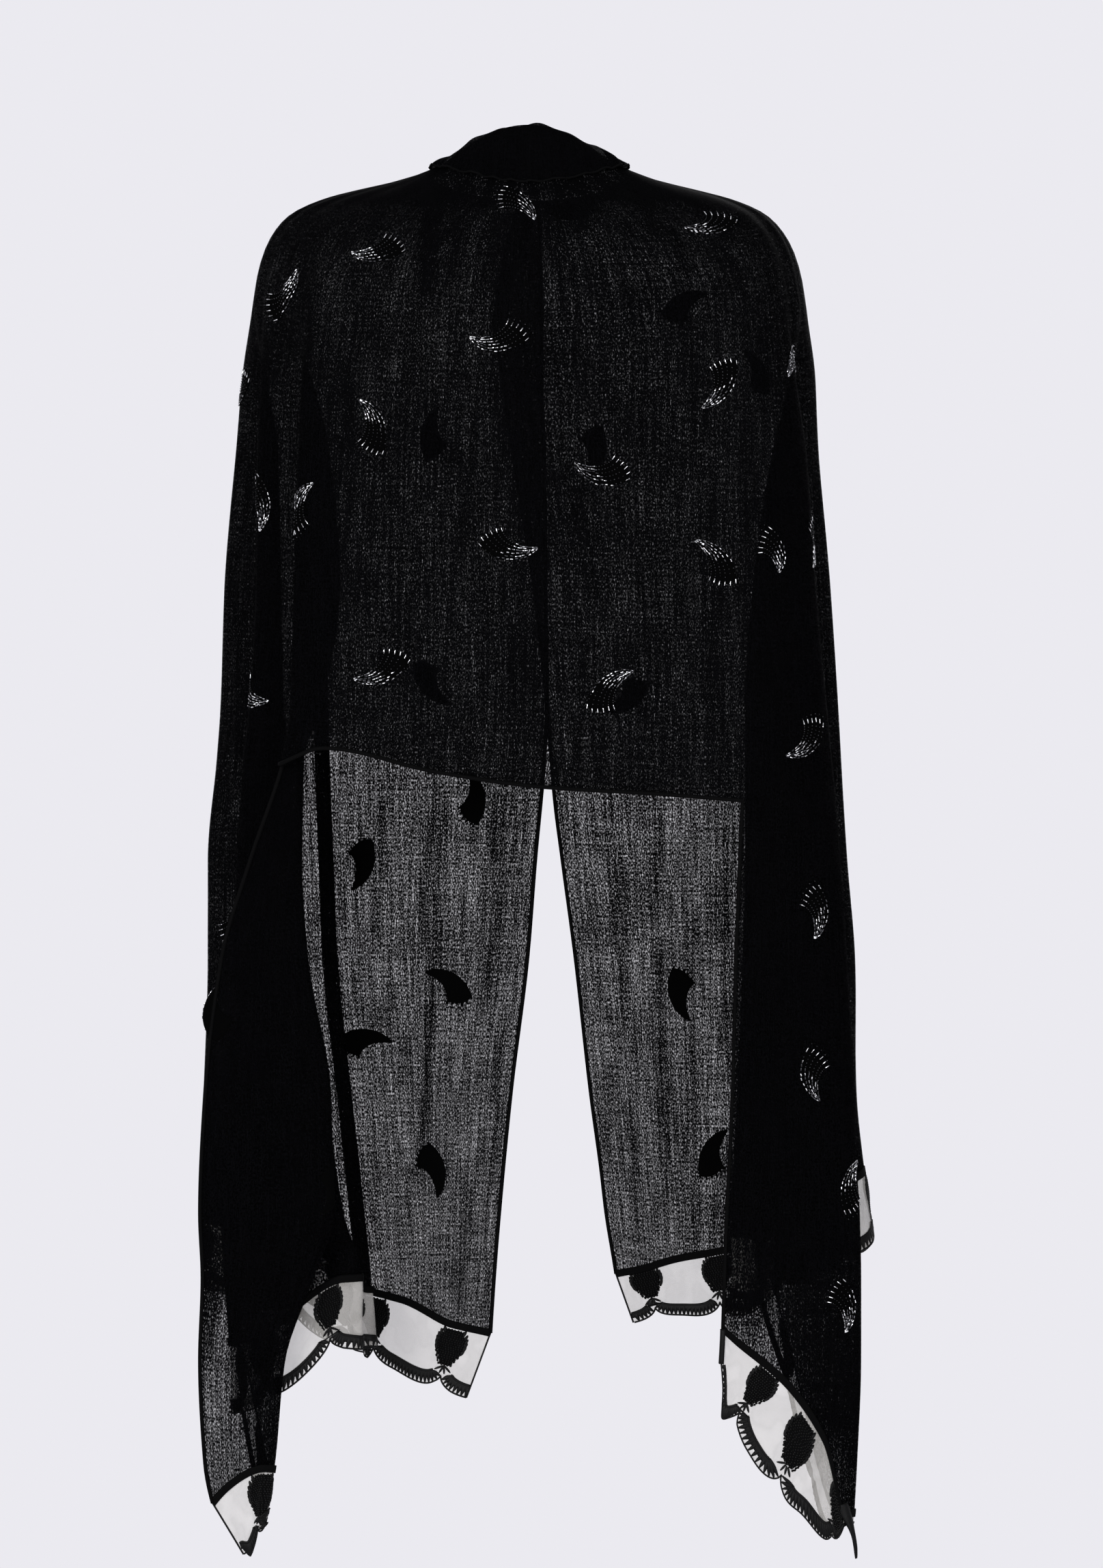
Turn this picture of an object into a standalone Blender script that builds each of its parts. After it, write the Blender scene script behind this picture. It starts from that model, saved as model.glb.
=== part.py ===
# A sheer black cashmere stole with pale scalloped ends, worn over the shoulders and seen from behind.
#
# The stole is one long rectangle of cloth. Worn, it makes a ring of cloth round the wearer: down the left front,
# round the left arm, in folds behind it, across the back, and the same on the right. Each height has its own ring,
# a smooth curve through named points, and the walls are lofted between these rings.
# Metres, +Z up, the wearer faces +Y. The origin is the middle of the shoulder line, where the wearer carries it.

import bpy
import numpy as np

MM = 0.001

# Driving sizes
WALL = 1.2 * MM
HEM_WALL = 3.0 * MM
BORDER_WALL = 1.0 * MM
SEAM_GAP = 0.5 * MM
BORDER_DEPTH = 55 * MM
SCALLOP_WIDTH = 58 * MM
SCALLOP_NOTCH = 14 * MM
FIRST_JOINT = 21 * MM
# The twisted corner of the right end: its ends as seen, its half widths at the top and at the point, its twist.
TIP_START = (240 * MM, -60.5 * MM, -1039.9 * MM)
TIP_END = (252 * MM, -60 * MM, -1054 * MM)
TIP_WIDE = 6.3 * MM
TIP_DEEP = 3.0 * MM
TIP_THIN = 0.8 * MM
TIP_TWIST = 2.6
YOKE_Z = -85 * MM
NECK_HALF_WIDTH = 74 * MM
NECK_HALF_DEPTH = 60 * MM
NECK_BACK_Z = 49.5 * MM
NECK_SIDE_Z = 17 * MM
NECK_FRONT_Z = 8 * MM
NECK_X = -2 * MM
COLLAR_REACH = 0.19
COLLAR_GATHERS = 34
COLLAR_LENGTH = 0.28
COLLAR_LIFT = 2.0 * MM
COLLAR_ROLL = 3.2 * MM
GATHER_HEIGHT = 1.3 * MM
FRONT_LAP = 6 * MM
HEM_HEIGHT = 4 * MM
HEM_STATION = 0.12
HEM_LEVEL = -445 * MM
BACK_BOW = 5 * MM
# The right long edge hangs at the back panel's depth above the upper height and at the folds' below the lower.
EDGE_LEVELS = (-720 * MM, -460 * MM)

# The widths below are those seen from behind, from this eye point, so each is set back to its own depth.
EYE_X = 15.6 * MM
EYE_Z = -453 * MM
EYE_DISTANCE = 3380 * MM

# Left side, in mm: the height, then where each fold of the ring lies. inner is the edge at the front opening,
# tuck the narrow fold in the front fall, side the outside of the arm, and in_1, out_1, in_2, out_2 the folds
# behind the arm, in order. tuck_depth goes from 0, none, to 1.
LEFT_COLUMNS = "z inner tuck tuck_depth side in_1 out_1 in_2 out_2".split()
LEFT_ROWS = (
    (-60, 9, -150, 0.0, -213, -214, -207, -194, -176),
    (-85, 8, -152, 0.0, -216, -214, -207, -193, -175),
    (-140, 8, -156, 0.1, -224, -205, -209, -170, -177),
    (-200, 10, -160, 0.6, -228, -196, -212, -156, -178),
    (-300, 11, -163, 1.0, -236, -194, -213, -148, -180),
    (-392, 12, -162, 1.0, -239, -192, -218, -162, -184),
    (-434, 10, -161, 1.0, -242, -188, -223, -176, -192),
    (-512, 3, -158, 1.0, -249, -183, -228, -177, -218),
    (-587, -3, -155, 1.0, -249, -178, -232, -172, -240),
    (-693, -16, -144, 1.0, -254, -160, -238, -154, -253),
    (-786, -25, -134, 1.0, -257, -146, -241, -152, -257),
    (-836, -29, -129, 1.0, -252, -132, -238, -168, -255),
    (-900, -33, -126, 1.0, -250, -132, -233, -190, -257),
    (-980, -37, -122, 1.0, -248, -132, -231, -198, -253),
    (-1050, -40, -118, 1.0, -246, -132, -231, -212, -236),
)

# Right side: crease is a soft fold in the front fall, in_1 and out_1 the folds behind the arm, and edge the long
# edge of the stole, which leaves the back hem here and runs down beside the folds.
RIGHT_COLUMNS = "z inner crease side in_1 out_1 edge".split()
RIGHT_ROWS = (
    (-60, -30, 120, 211, 207, 198, 166),
    (-85, -30, 121, 213, 208, 198, 167),
    (-140, -22, 123, 220, 200, 204, 168),
    (-200, -14, 124, 222, 186, 212, 168),
    (-300, 2, 126, 230, 172, 219, 168),
    (-392, 12, 128, 236, 166, 227, 167),
    (-465, 18, 128, 240, 166, 234, 165),
    (-512, 24, 128, 243, 166, 238, 163),
    (-587, 34, 128, 249, 164, 243, 160),
    (-693, 46, 130, 252, 160, 249, 157),
    (-752, 54, 132, 258, 157, 251, 154),
    (-786, 58, 133, 263, 156, 253, 152),
    (-836, 66, 134, 260, 156, 254, 150),
    (-900, 73, 136, 256, 156, 254, 148),
    (-980, 80, 138, 252, 156, 251, 147),
    (-1050, 86, 140, 250, 156, 247, 146),
)

# How far behind or before the shoulder line each layer hangs, in mm: front is the front falls, layer_1 to layer_4
# the folds behind the arms, from the arm outwards, and back the back panel.
DEPTH_COLUMNS = "z front side layer_1 layer_2 layer_3 layer_4 back".split()
DEPTH_ROWS = (
    (-60, 99, 12, -38, -58, -76, -88, -97),
    (-85, 104, 12, -38, -59, -77, -90, -100),
    (-200, 116, 14, -24, -46, -66, -86, -106),
    (-440, 120, 16, -20, -42, -64, -86, -106),
    (-700, 113, 16, -20, -40, -60, -80, -98),
    (-1050, 103, 12, -20, -38, -56, -74, -90),
)

# The end seam, by ring station: its height in mm, the lean of the border along the ring and its depth as a share.
SEAM_COLUMNS = "station z lean depth".split()
LEFT_SEAM = (
    (0, -879, 0.30, 1.0),
    (1, -872, 0.30, 1.0),
    (2, -853, 0.22, 1.0),
    (3, -846, 0.00, 1.0),
    (6, -845, 0.00, 1.0),
    (8, -808, 0.00, 1.0),
    (10, -790, 0.00, 1.0),
    (12, -798, 0.00, 1.0),
    (13, -835, 0.00, 1.0),
    (14, -837, 0.00, 1.0),
    (15, -884, 0.00, 1.0),
    (16, -887, 0.00, 1.0),
    (17, -966, 0.00, 1.0),
    (18, -970, 0.00, 1.1),
    (19, -1008, 0.00, 0.7),
)
RIGHT_SEAM = (
    (0, -833, 0.30, 0.85),
    (1, -829, 0.28, 0.95),
    (2, -822, 0.25, 1.0),
    (4, -812, 0.15, 1.0),
    (5, -786, 0.05, 1.0),
    (7, -752, 0.00, 1.0),
    (9, -775, 0.00, 1.0),
    (10, -800, 0.00, 1.0),
    (11, -803, 0.00, 1.0),
    (12, -1016, 0.00, 0.38),
    (13, -1019, 0.20, 0.36),
    (13.4, -960, 0.40, 0.85),
    (14, -912, 0.45, 0.9),
    (15, -876, 0.00, 0.95),
)

# The back hem, in mm.
HEM_COLUMNS = "x z".split()
HEM_ROWS = ((-192, -438), (-162, -426), (-71, -444), (8, -455), (105, -461), (166, -466))

# From the neck to the top of the falls: the share of the way out and down, over the shoulder, behind and in front.
YOKE_COLUMNS = "step side_out side_down back_out back_down front_out front_down".split()
YOKE_ROWS = (
    (0.00, 0.00, 0.00, 0.00, 0.00, 0.00, 0.00),
    (0.12, 0.16, 0.040, 0.06, 0.15, 0.12, 0.06),
    (0.24, 0.30, 0.080, 0.14, 0.30, 0.26, 0.15),
    (0.38, 0.45, 0.125, 0.34, 0.45, 0.42, 0.28),
    (0.52, 0.62, 0.190, 0.56, 0.58, 0.58, 0.44),
    (0.66, 0.80, 0.310, 0.74, 0.71, 0.74, 0.62),
    (0.80, 0.91, 0.500, 0.88, 0.84, 0.88, 0.80),
    (0.90, 0.97, 0.740, 0.96, 0.93, 0.95, 0.92),
    (1.00, 1.00, 1.00, 1.00, 1.00, 1.00, 1.00),
)

# Soft upright folds in the back panel and the front falls, in mm: where each starts and ends, its half width and
# how far it stands out.
FOLD_COLUMNS = "x_top z_top x_low z_low half_width depth".split()
BACK_FOLDS = (
    (-112, -10, -150, -430, 13, 7),
    (-70, 0, -104, -380, 10, 5),
    (-44, 5, -52, -300, 9, 5),
    (20, 5, 22, -330, 10, 5),
    (62, 0, 84, -400, 12, 6),
    (104, -10, 132, -460, 12, 7),
    (-10, -60, -22, -455, 16, 4),
)
FRONT_FOLDS = (
    (-60, -90, -78, -860, 15, 6),
    (-102, -90, -112, -620, 11, 5),
    (-190, -90, -196, -800, 12, 6),
    (70, -90, 100, -820, 14, 6),
    (168, -90, 176, -800, 13, 6),
)

LEFT_STATIONS = 20
BACK_STATIONS = 7
RIGHT_STATIONS = 16
LEFT_SIDE_START = 10
LEFT_END = LEFT_STATIONS - 1
RIGHT_END = LEFT_END + BACK_STATIONS + 1
RING_END = LEFT_STATIONS + BACK_STATIONS + RIGHT_STATIONS - 1
RIGHT_SIDE_START = RING_END - 7
ROWS_TO_HEM = 9
ROWS_BELOW_HEM = 10


def smooth(rows, columns, name, at):
    """Reads one named column of a table at any value of its first column, with no overshoot between the rows."""
    table = np.array(sorted(rows), dtype=float)
    keys = table[:, 0]
    values = table[:, columns.index(name)]
    step = np.diff(keys)
    slope = np.diff(values) / step
    pair = slope[:-1] * slope[1:]
    total = slope[:-1] + slope[1:]
    safe = np.where(pair > 0, total, 1.0)
    tangent = np.concatenate(([slope[0]], np.where(pair > 0, 2 * pair / safe, 0.0), [slope[-1]]))
    at = np.clip(np.asarray(at, dtype=float), keys[0], keys[-1])
    i = np.clip(np.searchsorted(keys, at) - 1, 0, len(keys) - 2)
    t = (at - keys[i]) / step[i]
    rise = (3 - 2 * t) * t * t
    start = t * (1 - t) ** 2
    finish = t * t * (t - 1)
    ends = values[i] * (1 - rise) + values[i + 1] * rise
    return ends + step[i] * (start * tangent[i] + finish * tangent[i + 1])


def depth(name, z):
    return smooth(DEPTH_ROWS, DEPTH_COLUMNS, name, z / MM) * MM


def seen_height(z, y):
    """The height at which a point at this height and depth is seen, on the plane of the shoulders."""
    return EYE_Z + (z - EYE_Z) / (1 + y / EYE_DISTANCE)


def true_height(z, y):
    return EYE_Z + (z - EYE_Z) * (1 + y / EYE_DISTANCE)


def true_x(x, y):
    return EYE_X + (x - EYE_X) * (1 + y / EYE_DISTANCE)


def side_x(rows, columns, name, z, y):
    seen = smooth(rows, columns, name, seen_height(z, y) / MM) * MM
    return true_x(seen, y)


def fold_reach(x, before, after):
    """Where the two control points of a turn go, so that the smooth curve just reaches x."""
    return (48 * x - before - after) / 46


def left_stations(z):
    """The control points of the left half of the ring, from the front opening to the last fold behind the arm."""
    front, side = depth("front", z), depth("side", z)
    one, two, three, four = (depth(f"layer_{i}", z) for i in (1, 2, 3, 4))

    def read(name, y):
        return side_x(LEFT_ROWS, LEFT_COLUMNS, name, z, y)

    inner, tuck, arm = read("inner", front), read("tuck", front), read("side", side)
    folded = smooth(LEFT_ROWS, LEFT_COLUMNS, "tuck_depth", z / MM)
    in_1, out_1 = read("in_1", one), read("out_1", two)
    in_2, out_2 = read("in_2", three), read("out_2", four)
    turn_1 = fold_reach(in_1, arm, out_1)
    turn_2 = fold_reach(out_1, in_1, in_2)
    turn_3 = fold_reach(in_2, out_1, out_2)
    last = (6 * out_2 - turn_3) / 5
    laid = 1 - folded
    return [
        (inner, front),
        (inner * 0.7 + tuck * 0.3, front),
        (tuck + 26 * MM, front),
        (tuck + (8 * laid - 8 * folded) * MM, front),
        (tuck + (3 * laid - 8 * folded) * MM, front - 6.5 * MM * folded),
        (tuck + (-3 * laid + 7 * folded) * MM, front - 9 * MM * folded - 1 * MM),
        (tuck + (-8 * laid + 7 * folded) * MM, front - 17 * MM * folded - 1 * MM),
        (tuck - 26 * MM, front - 15 * MM * folded - 3 * MM),
        (arm + 40 * MM, front - 30 * MM),
        (arm + 6 * MM, front - 64 * MM),
        (arm - 2 * MM, side),
        (arm + 3 * MM, side - 30 * MM),
        ((arm + turn_1) / 2, one + 2 * MM),
        (turn_1, one),
        (turn_1, two),
        (turn_2, two),
        (turn_2, three),
        (turn_3, three),
        (turn_3, four),
        (last, four),
    ]


def right_stations(z):
    """The control points of the right half, from the front opening to the long edge or the back panel."""
    front, side = depth("front", z) + FRONT_LAP, depth("side", z)
    one, two, four = depth("layer_1", z), depth("layer_2", z), depth("layer_4", z)
    back = depth("back", z)
    lower, upper = EDGE_LEVELS
    near = four + (back - four) * np.clip((z - lower) / (upper - lower), 0, 1)

    def read(name, y):
        return side_x(RIGHT_ROWS, RIGHT_COLUMNS, name, z, y)

    inner, crease, arm = read("inner", front), read("crease", front), read("side", side)
    in_1, out_1, edge = read("in_1", one), read("out_1", two), read("edge", near)
    turn_1 = fold_reach(in_1, arm, out_1)
    turn_2 = fold_reach(out_1, in_1, edge)
    return [
        (inner, front),
        (inner * 0.7 + crease * 0.3, front),
        (crease - 24 * MM, front - 2 * MM),
        (crease, front - 8 * MM),
        (crease + 24 * MM, front - 6 * MM),
        (arm - 40 * MM, front - 30 * MM),
        (arm - 6 * MM, front - 64 * MM),
        (arm + 2 * MM, side),
        (arm - 3 * MM, side - 30 * MM),
        ((arm + turn_1) / 2, one + 2 * MM),
        (turn_1, one),
        (turn_1, two),
        (turn_2, two),
        (turn_2, (two + 2 * near) / 3),
        ((turn_2 + 2 * edge) / 3, near),
        (edge, near),
    ]


def back_stations(z):
    """The control points across the back panel, left to right. The first turns back over the last left fold."""
    back = depth("back", z)
    last = left_stations(z)[-1][0]
    right = side_x(RIGHT_ROWS, RIGHT_COLUMNS, "edge", z, back)
    points = [(last, back), (last * 0.8 + right * 0.2, back - 3 * MM)]
    for share in (0.36, 0.52, 0.67, 0.80, 0.91):
        points.append((last + (right - last) * share, back - BACK_BOW * np.sin(np.pi * share)))
    return points


def ring(z):
    """All control points at these heights, left front to right front."""
    points = left_stations(z) + back_stations(z) + right_stations(z)[::-1]
    return np.stack([np.stack(np.broadcast_arrays(x, y), axis=-1) for x, y in points], axis=-2)


def soft_folds(rows, x, z):
    """How far the upright folds move a point."""
    moved = np.zeros_like(x)
    for row in rows:
        fold = dict(zip(FOLD_COLUMNS, row))
        along = np.clip((z / MM - fold["z_top"]) / (fold["z_low"] - fold["z_top"]), 0, 1)
        centre = fold["x_top"] + (fold["x_low"] - fold["x_top"]) * along
        strength = np.sin(np.pi * np.clip(0.12 + 0.88 * along, 0, 1)) ** 0.7
        moved += fold["depth"] * MM * strength * np.exp(-(((x / MM - centre) / fold["half_width"]) ** 2))
    return moved


def place(station, z):
    """The cloth's point at a ring station and a height. Both may be arrays of one shape."""
    station, z = np.broadcast_arrays(np.asarray(station, float), np.asarray(z, float))
    points = ring(z)
    last = points.shape[-2] - 1
    first = np.clip(np.floor(station).astype(int), 0, last - 1)
    t = (station - first)[..., None]

    def control(i):
        inside = np.take_along_axis(points, np.clip(i, 0, last)[..., None, None], axis=-2)[..., 0, :]
        before = 2 * points[..., 0, :] - points[..., 1, :]
        after = 2 * points[..., last, :] - points[..., last - 1, :]
        inside = np.where((i < 0)[..., None], before, inside)
        return np.where((i > last)[..., None], after, inside)

    mixed = (
        control(first - 1) * (1 - t) ** 3
        + control(first) * (3 * t**3 - 6 * t**2 + 4)
        + control(first + 1) * (-3 * t**3 + 3 * t**2 + 3 * t + 1)
        + control(first + 2) * t**3
    ) / 6
    x, y = mixed[..., 0], mixed[..., 1]
    on_back = np.clip((station - LEFT_END - 0.5) / 1.5, 0, 1) * np.clip((RIGHT_END - station) / 1.5, 0, 1)
    from_front = np.minimum(station, RING_END - station)
    on_front = np.clip((8.5 - from_front) / 1.5, 0, 1) * np.clip((-z - 0.09) / 0.05, 0, 1)
    y = y - on_back * soft_folds(BACK_FOLDS, x, z) + on_front * soft_folds(FRONT_FOLDS, x, z)
    return np.stack((x, y, z), axis=-1)


def ring_share():
    """How far round the ring each station lies at the top of the falls, from 0 to 1, for the yoke's angles."""
    stations = np.linspace(0, RING_END, 20 * RING_END + 1)
    points = place(stations, np.full_like(stations, YOKE_Z))
    lengths = np.linalg.norm(np.diff(points, axis=0), axis=1)
    travelled = np.concatenate(([0], np.cumsum(lengths)))
    return stations, travelled / travelled[-1]


RING_STATIONS, RING_SHARES = ring_share()


def yoke(station, step):
    """The cloth from the neck, step 0, to the top of the falls, step 1."""
    station, step = np.broadcast_arrays(np.asarray(station, float), np.asarray(step, float))
    share = np.interp(station, RING_STATIONS, RING_SHARES)
    angle = (2 * share - 1) * np.pi
    angle = angle * (1 + 0.03 * np.abs(angle) / np.pi)
    level = np.where(
        np.cos(angle) > 0,
        NECK_SIDE_Z + (NECK_BACK_Z - NECK_SIDE_Z) * np.abs(np.cos(angle)) ** 2.3,
        NECK_SIDE_Z + (NECK_FRONT_Z - NECK_SIDE_Z) * np.abs(np.cos(angle)) ** 1.5,
    )
    lap = FRONT_LAP * np.clip((share - 0.5) * 4 - 1, 0, 1)
    neck = np.stack(
        (NECK_X + NECK_HALF_WIDTH * np.sin(angle), -NECK_HALF_DEPTH * np.cos(angle) + lap, level), axis=-1
    )
    fall = place(station, np.full_like(station, YOKE_Z))
    sideways = np.sin(angle) ** 2
    behind = np.cos(angle) > 0

    def profile(kind):
        over = smooth(YOKE_ROWS, YOKE_COLUMNS, "side_" + kind, step)
        rear = smooth(YOKE_ROWS, YOKE_COLUMNS, "back_" + kind, step)
        fore = smooth(YOKE_ROWS, YOKE_COLUMNS, "front_" + kind, step)
        return over * sideways + np.where(behind, rear, fore) * (1 - sideways)

    out, down = profile("out"), profile("down")
    shape = np.stack((out, out, down), axis=-1)
    point = neck + (fall - neck) * shape
    faded = np.clip(step / 0.25, 0, 1) * np.clip((1 - step) / 0.3, 0, 1) * behind * (1 - sideways)
    point[..., 1] -= faded * soft_folds(BACK_FOLDS, point[..., 0], np.minimum(point[..., 2], -0.02))
    return point


def grid_mesh(name, points, hems=()):
    """A sheet over a grid of points, with the rolled hem's columns in a vertex group."""
    rows, columns = points.shape[:2]
    faces = [
        (r * columns + c, r * columns + c + 1, (r + 1) * columns + c + 1, (r + 1) * columns + c)
        for r in range(rows - 1)
        for c in range(columns - 1)
    ]
    mesh = bpy.data.meshes.new(name)
    mesh.from_pydata(points.reshape(-1, 3).tolist(), [], faces)
    mesh.shade_smooth()
    piece = bpy.data.objects.new(name, mesh)
    group = piece.vertex_groups.new(name="hem")
    numbers = np.arange(rows * columns).reshape(rows, columns)
    for hem, from_row in hems:
        chosen = {"first": numbers[from_row:, 0], "last": numbers[from_row:, -1], "low": numbers[-1, 1:-1]}[hem]
        group.add([int(n) for n in chosen], 1.0, "REPLACE")
    return piece


def walled(piece, collection, material, thickness=WALL):
    """Gives the sheet its wall, thicker at the rolled hems, and puts it in the collection."""
    wall = piece.modifiers.new("wall", "SOLIDIFY")
    wall.thickness = HEM_WALL
    wall.offset = 0
    wall.vertex_group = "hem"
    wall.thickness_vertex_group = thickness / HEM_WALL
    piece.data.materials.append(material)
    collection.objects.link(piece)
    return piece


def trimmed(points, ends):
    """Draws the named ends of a grid back by half a seam gap."""
    points = points.copy()
    views = {"first": points.swapaxes(0, 1), "last": points.swapaxes(0, 1)[::-1], "top": points}
    views["low"] = points[::-1]
    for end in ends:
        view = views[end]
        inward = view[1] - view[0]
        length = np.linalg.norm(inward, axis=-1, keepdims=True)
        view[0] += inward / length * SEAM_GAP / 2
    return points


def seam_height(station):
    """The height of the end seam at a ring station, on either side."""
    station = np.asarray(station, float)
    on_left = station <= LEFT_END
    left = smooth(LEFT_SEAM, SEAM_COLUMNS, "z", station)
    right = smooth(RIGHT_SEAM, SEAM_COLUMNS, "z", RING_END - station)
    seen = np.where(on_left, left, right) * MM
    y = place(station, seen)[..., 1]
    return true_height(seen, y)


def stations_between(start, end):
    """The ring stations that the walls' columns lie at, with one just inside each rolled hem."""
    sides = np.arange(0, RING_END + 0.1, 0.5)
    sides = sides[(sides <= LEFT_END) | (sides >= RIGHT_END)]
    back = np.arange(LEFT_END, RIGHT_END + 0.1, 1 / 3)
    hems = np.array((0, LEFT_END - 2 * HEM_STATION, RIGHT_END, RING_END - 2 * HEM_STATION)) + HEM_STATION
    every = np.unique(np.round(np.concatenate((sides, back, hems)), 4))
    return every[(every > start - 0.001) & (every < end + 0.001)]


def hem_height(stations):
    """The height of the back hem at ring stations. Beyond the back it is that of the hem's nearer end."""
    inside = np.clip(stations, LEFT_END, RIGHT_END)
    x = place(inside, np.full_like(inside, HEM_LEVEL))[:, 0]
    return smooth(HEM_ROWS, HEM_COLUMNS, "z", x / MM) * MM


def back_heights(stations):
    """The heights of the rows from the yoke to the back hem, the last two just a rolled hem apart."""
    hem = hem_height(stations)
    down = np.linspace(0, 1, ROWS_TO_HEM - 1)[:, None]
    return np.concatenate((YOKE_Z + (hem + HEM_HEIGHT - YOKE_Z) * down, hem[None, :]))


def fall_grid(start, end):
    """A stretch of hanging cloth between two ring stations, from the yoke down to the end seam. Its upper rows
    are the back panel's, so that walls that meet along a height have the same rows there."""
    stations = stations_between(start, end)
    upper = back_heights(stations)
    lower = np.linspace(0, 1, ROWS_BELOW_HEM + 1)[1:, None]
    z = np.concatenate((upper, upper[-1] + (seam_height(stations) - upper[-1]) * lower))
    return place(np.broadcast_to(stations, z.shape), z)


def back_grid():
    """The back panel, from the yoke down to the hem."""
    stations = stations_between(LEFT_END, RIGHT_END)
    z = back_heights(stations)
    return place(np.broadcast_to(stations, z.shape), z)


def yoke_grid(start, end):
    stations = stations_between(start, end)
    steps = np.array([row[0] for row in YOKE_ROWS])[:, None]
    return yoke(np.broadcast_to(stations, (len(steps), len(stations))), steps)


def scallop_depth(travelled, width):
    """The border's depth along an end of this width: round tabs between joints, a part of one at each corner."""
    between = width - 2 * FIRST_JOINT
    tabs = np.round(between / SCALLOP_WIDTH)
    phase = ((travelled - FIRST_JOINT) / between * tabs) % 1.0
    tab = np.sqrt(np.clip(1 - (2 * phase - 1) ** 2, 0, 1))
    return BORDER_DEPTH - SCALLOP_NOTCH * (1 - tab)


def border_grid(start, end, rows=3, finer=2):
    """A stretch of the organza border. Its top lies on the seam's own chords, so that no wall crosses another."""
    stations = stations_between(start, end)
    on_left = end <= LEFT_END
    whole = stations_between(0, LEFT_END) if on_left else stations_between(RIGHT_END, RING_END)
    seam_all = place(whole, seam_height(whole))
    length = np.concatenate(([0], np.cumsum(np.linalg.norm(np.diff(seam_all, axis=0), axis=1))))
    travelled = np.interp(stations, whole, length)
    seam = place(stations, seam_height(stations))
    ahead = place(stations + 0.02, seam[:, 2])
    along = (ahead - seam) / np.linalg.norm(ahead - seam, axis=-1, keepdims=True)
    rows_of, key = (LEFT_SEAM, stations) if on_left else (RIGHT_SEAM, RING_END - stations)
    lean = smooth(rows_of, SEAM_COLUMNS, "lean", key) * (1 if on_left else -1)
    share = smooth(rows_of, SEAM_COLUMNS, "depth", key)
    below = place(stations, seam[:, 2] - 5 * MM)
    down = (below - seam) / np.linalg.norm(below - seam, axis=-1, keepdims=True)
    fall = along * lean[:, None] + down * np.sqrt(1 - lean**2)[:, None]
    fine = np.linspace(0, len(stations) - 1, (len(stations) - 1) * finer + 1)
    coarse = np.arange(len(stations))

    def finely(values):
        return np.stack([np.interp(fine, coarse, values[:, i]) for i in range(3)], axis=-1)

    seam, fall = finely(seam), finely(fall)
    reach = scallop_depth(np.interp(fine, coarse, travelled), length[-1]) * np.interp(fine, coarse, share)
    runs = np.gradient(seam, axis=0)
    runs /= np.linalg.norm(runs, axis=-1, keepdims=True)
    across = np.linalg.norm(np.cross(runs, fall), axis=-1)
    start_at = (SEAM_GAP / np.clip(across, 0.12, 1))[None, :, None]
    down = np.linspace(0, 1, rows)[:, None, None]
    return seam[None] + fall[None] * (start_at + (reach[None, :, None] - start_at) * down)


def outward(points):
    """The unit normal at each point of a grid."""
    across = np.gradient(points, axis=1)
    down = np.gradient(points, axis=0)
    normal = np.cross(down, across)
    return normal / np.linalg.norm(normal, axis=-1, keepdims=True)


def collar_grid(rows=5):
    """The turned-down collar: it lies on the yoke's own points, moved out, and its gathers wave it."""
    shares = np.linspace(0.5 - COLLAR_REACH, 0.5 + COLLAR_REACH, 61)
    stations = np.interp(shares, RING_SHARES, RING_STATIONS)
    from_middle = np.abs(shares - 0.5) / COLLAR_REACH
    first = 0.004
    length = 0.02 + (COLLAR_LENGTH - 0.02) * (1 - from_middle**2)
    steps = first + (length[None, :] - first) * np.linspace(0, 1, rows)[:, None]
    base = yoke(np.broadcast_to(stations, steps.shape), steps)
    out = outward(base)
    down = np.linspace(0, 1, rows)[:, None]
    waves = np.sin(shares * 2 * np.pi * COLLAR_GATHERS + 1.5 * np.sin(shares * 40))
    settled = np.clip((1 - from_middle) / 0.3, 0, 1)[None, :]
    lift = COLLAR_LIFT + (COLLAR_ROLL * np.sin(0.75 * np.pi * down) + GATHER_HEIGHT * waves[None, :] * down) * settled
    return base + out * lift[..., None]


def border_tip(collection, material):
    """The last corner of the right end, twisted to a point."""
    start = true_x(TIP_START[0], TIP_START[1]), TIP_START[1], true_height(TIP_START[2], TIP_START[1])
    end = true_x(TIP_END[0], TIP_END[1]), TIP_END[1], true_height(TIP_END[2], TIP_END[1])
    sides, steps = 8, 9
    rings = []
    for i in range(steps):
        t = i / (steps - 1)
        centre = np.array(start) + (np.array(end) - np.array(start)) * t
        centre[0] += 3 * MM * np.sin(np.pi * t)
        wide = TIP_THIN + (TIP_WIDE - TIP_THIN) * (1 - t) ** 0.8
        thin = TIP_THIN + (TIP_DEEP - TIP_THIN) * (1 - t)
        turn = TIP_TWIST * t
        for k in range(sides):
            a = 2 * np.pi * k / sides
            x, y = wide * np.cos(a), thin * np.sin(a)
            dx, dy = x * np.cos(turn) - y * np.sin(turn), x * np.sin(turn) + y * np.cos(turn)
            rings.append((centre[0] + dx, centre[1] + dy, centre[2] + 0.3 * dx))
    faces = [tuple(range(sides))[::-1], tuple(range((steps - 1) * sides, steps * sides))]
    for i in range(steps - 1):
        for k in range(sides):
            n = (k + 1) % sides
            faces.append((i * sides + k, i * sides + n, (i + 1) * sides + n, (i + 1) * sides + k))
    mesh = bpy.data.meshes.new("border_tip")
    mesh.from_pydata(rings, [], faces)
    mesh.flip_normals()
    mesh.shade_smooth()
    mesh.materials.append(material)
    piece = bpy.data.objects.new("border_tip", mesh)
    collection.objects.link(piece)


def cloth(name, colour, roughness):
    material = bpy.data.materials.new(name)
    material.use_nodes = True
    shader = material.node_tree.nodes["Principled BSDF"]
    shader.inputs["Base Color"].default_value = (*colour, 1)
    shader.inputs["Roughness"].default_value = roughness
    shader.inputs["Metallic"].default_value = 0
    return material


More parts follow.
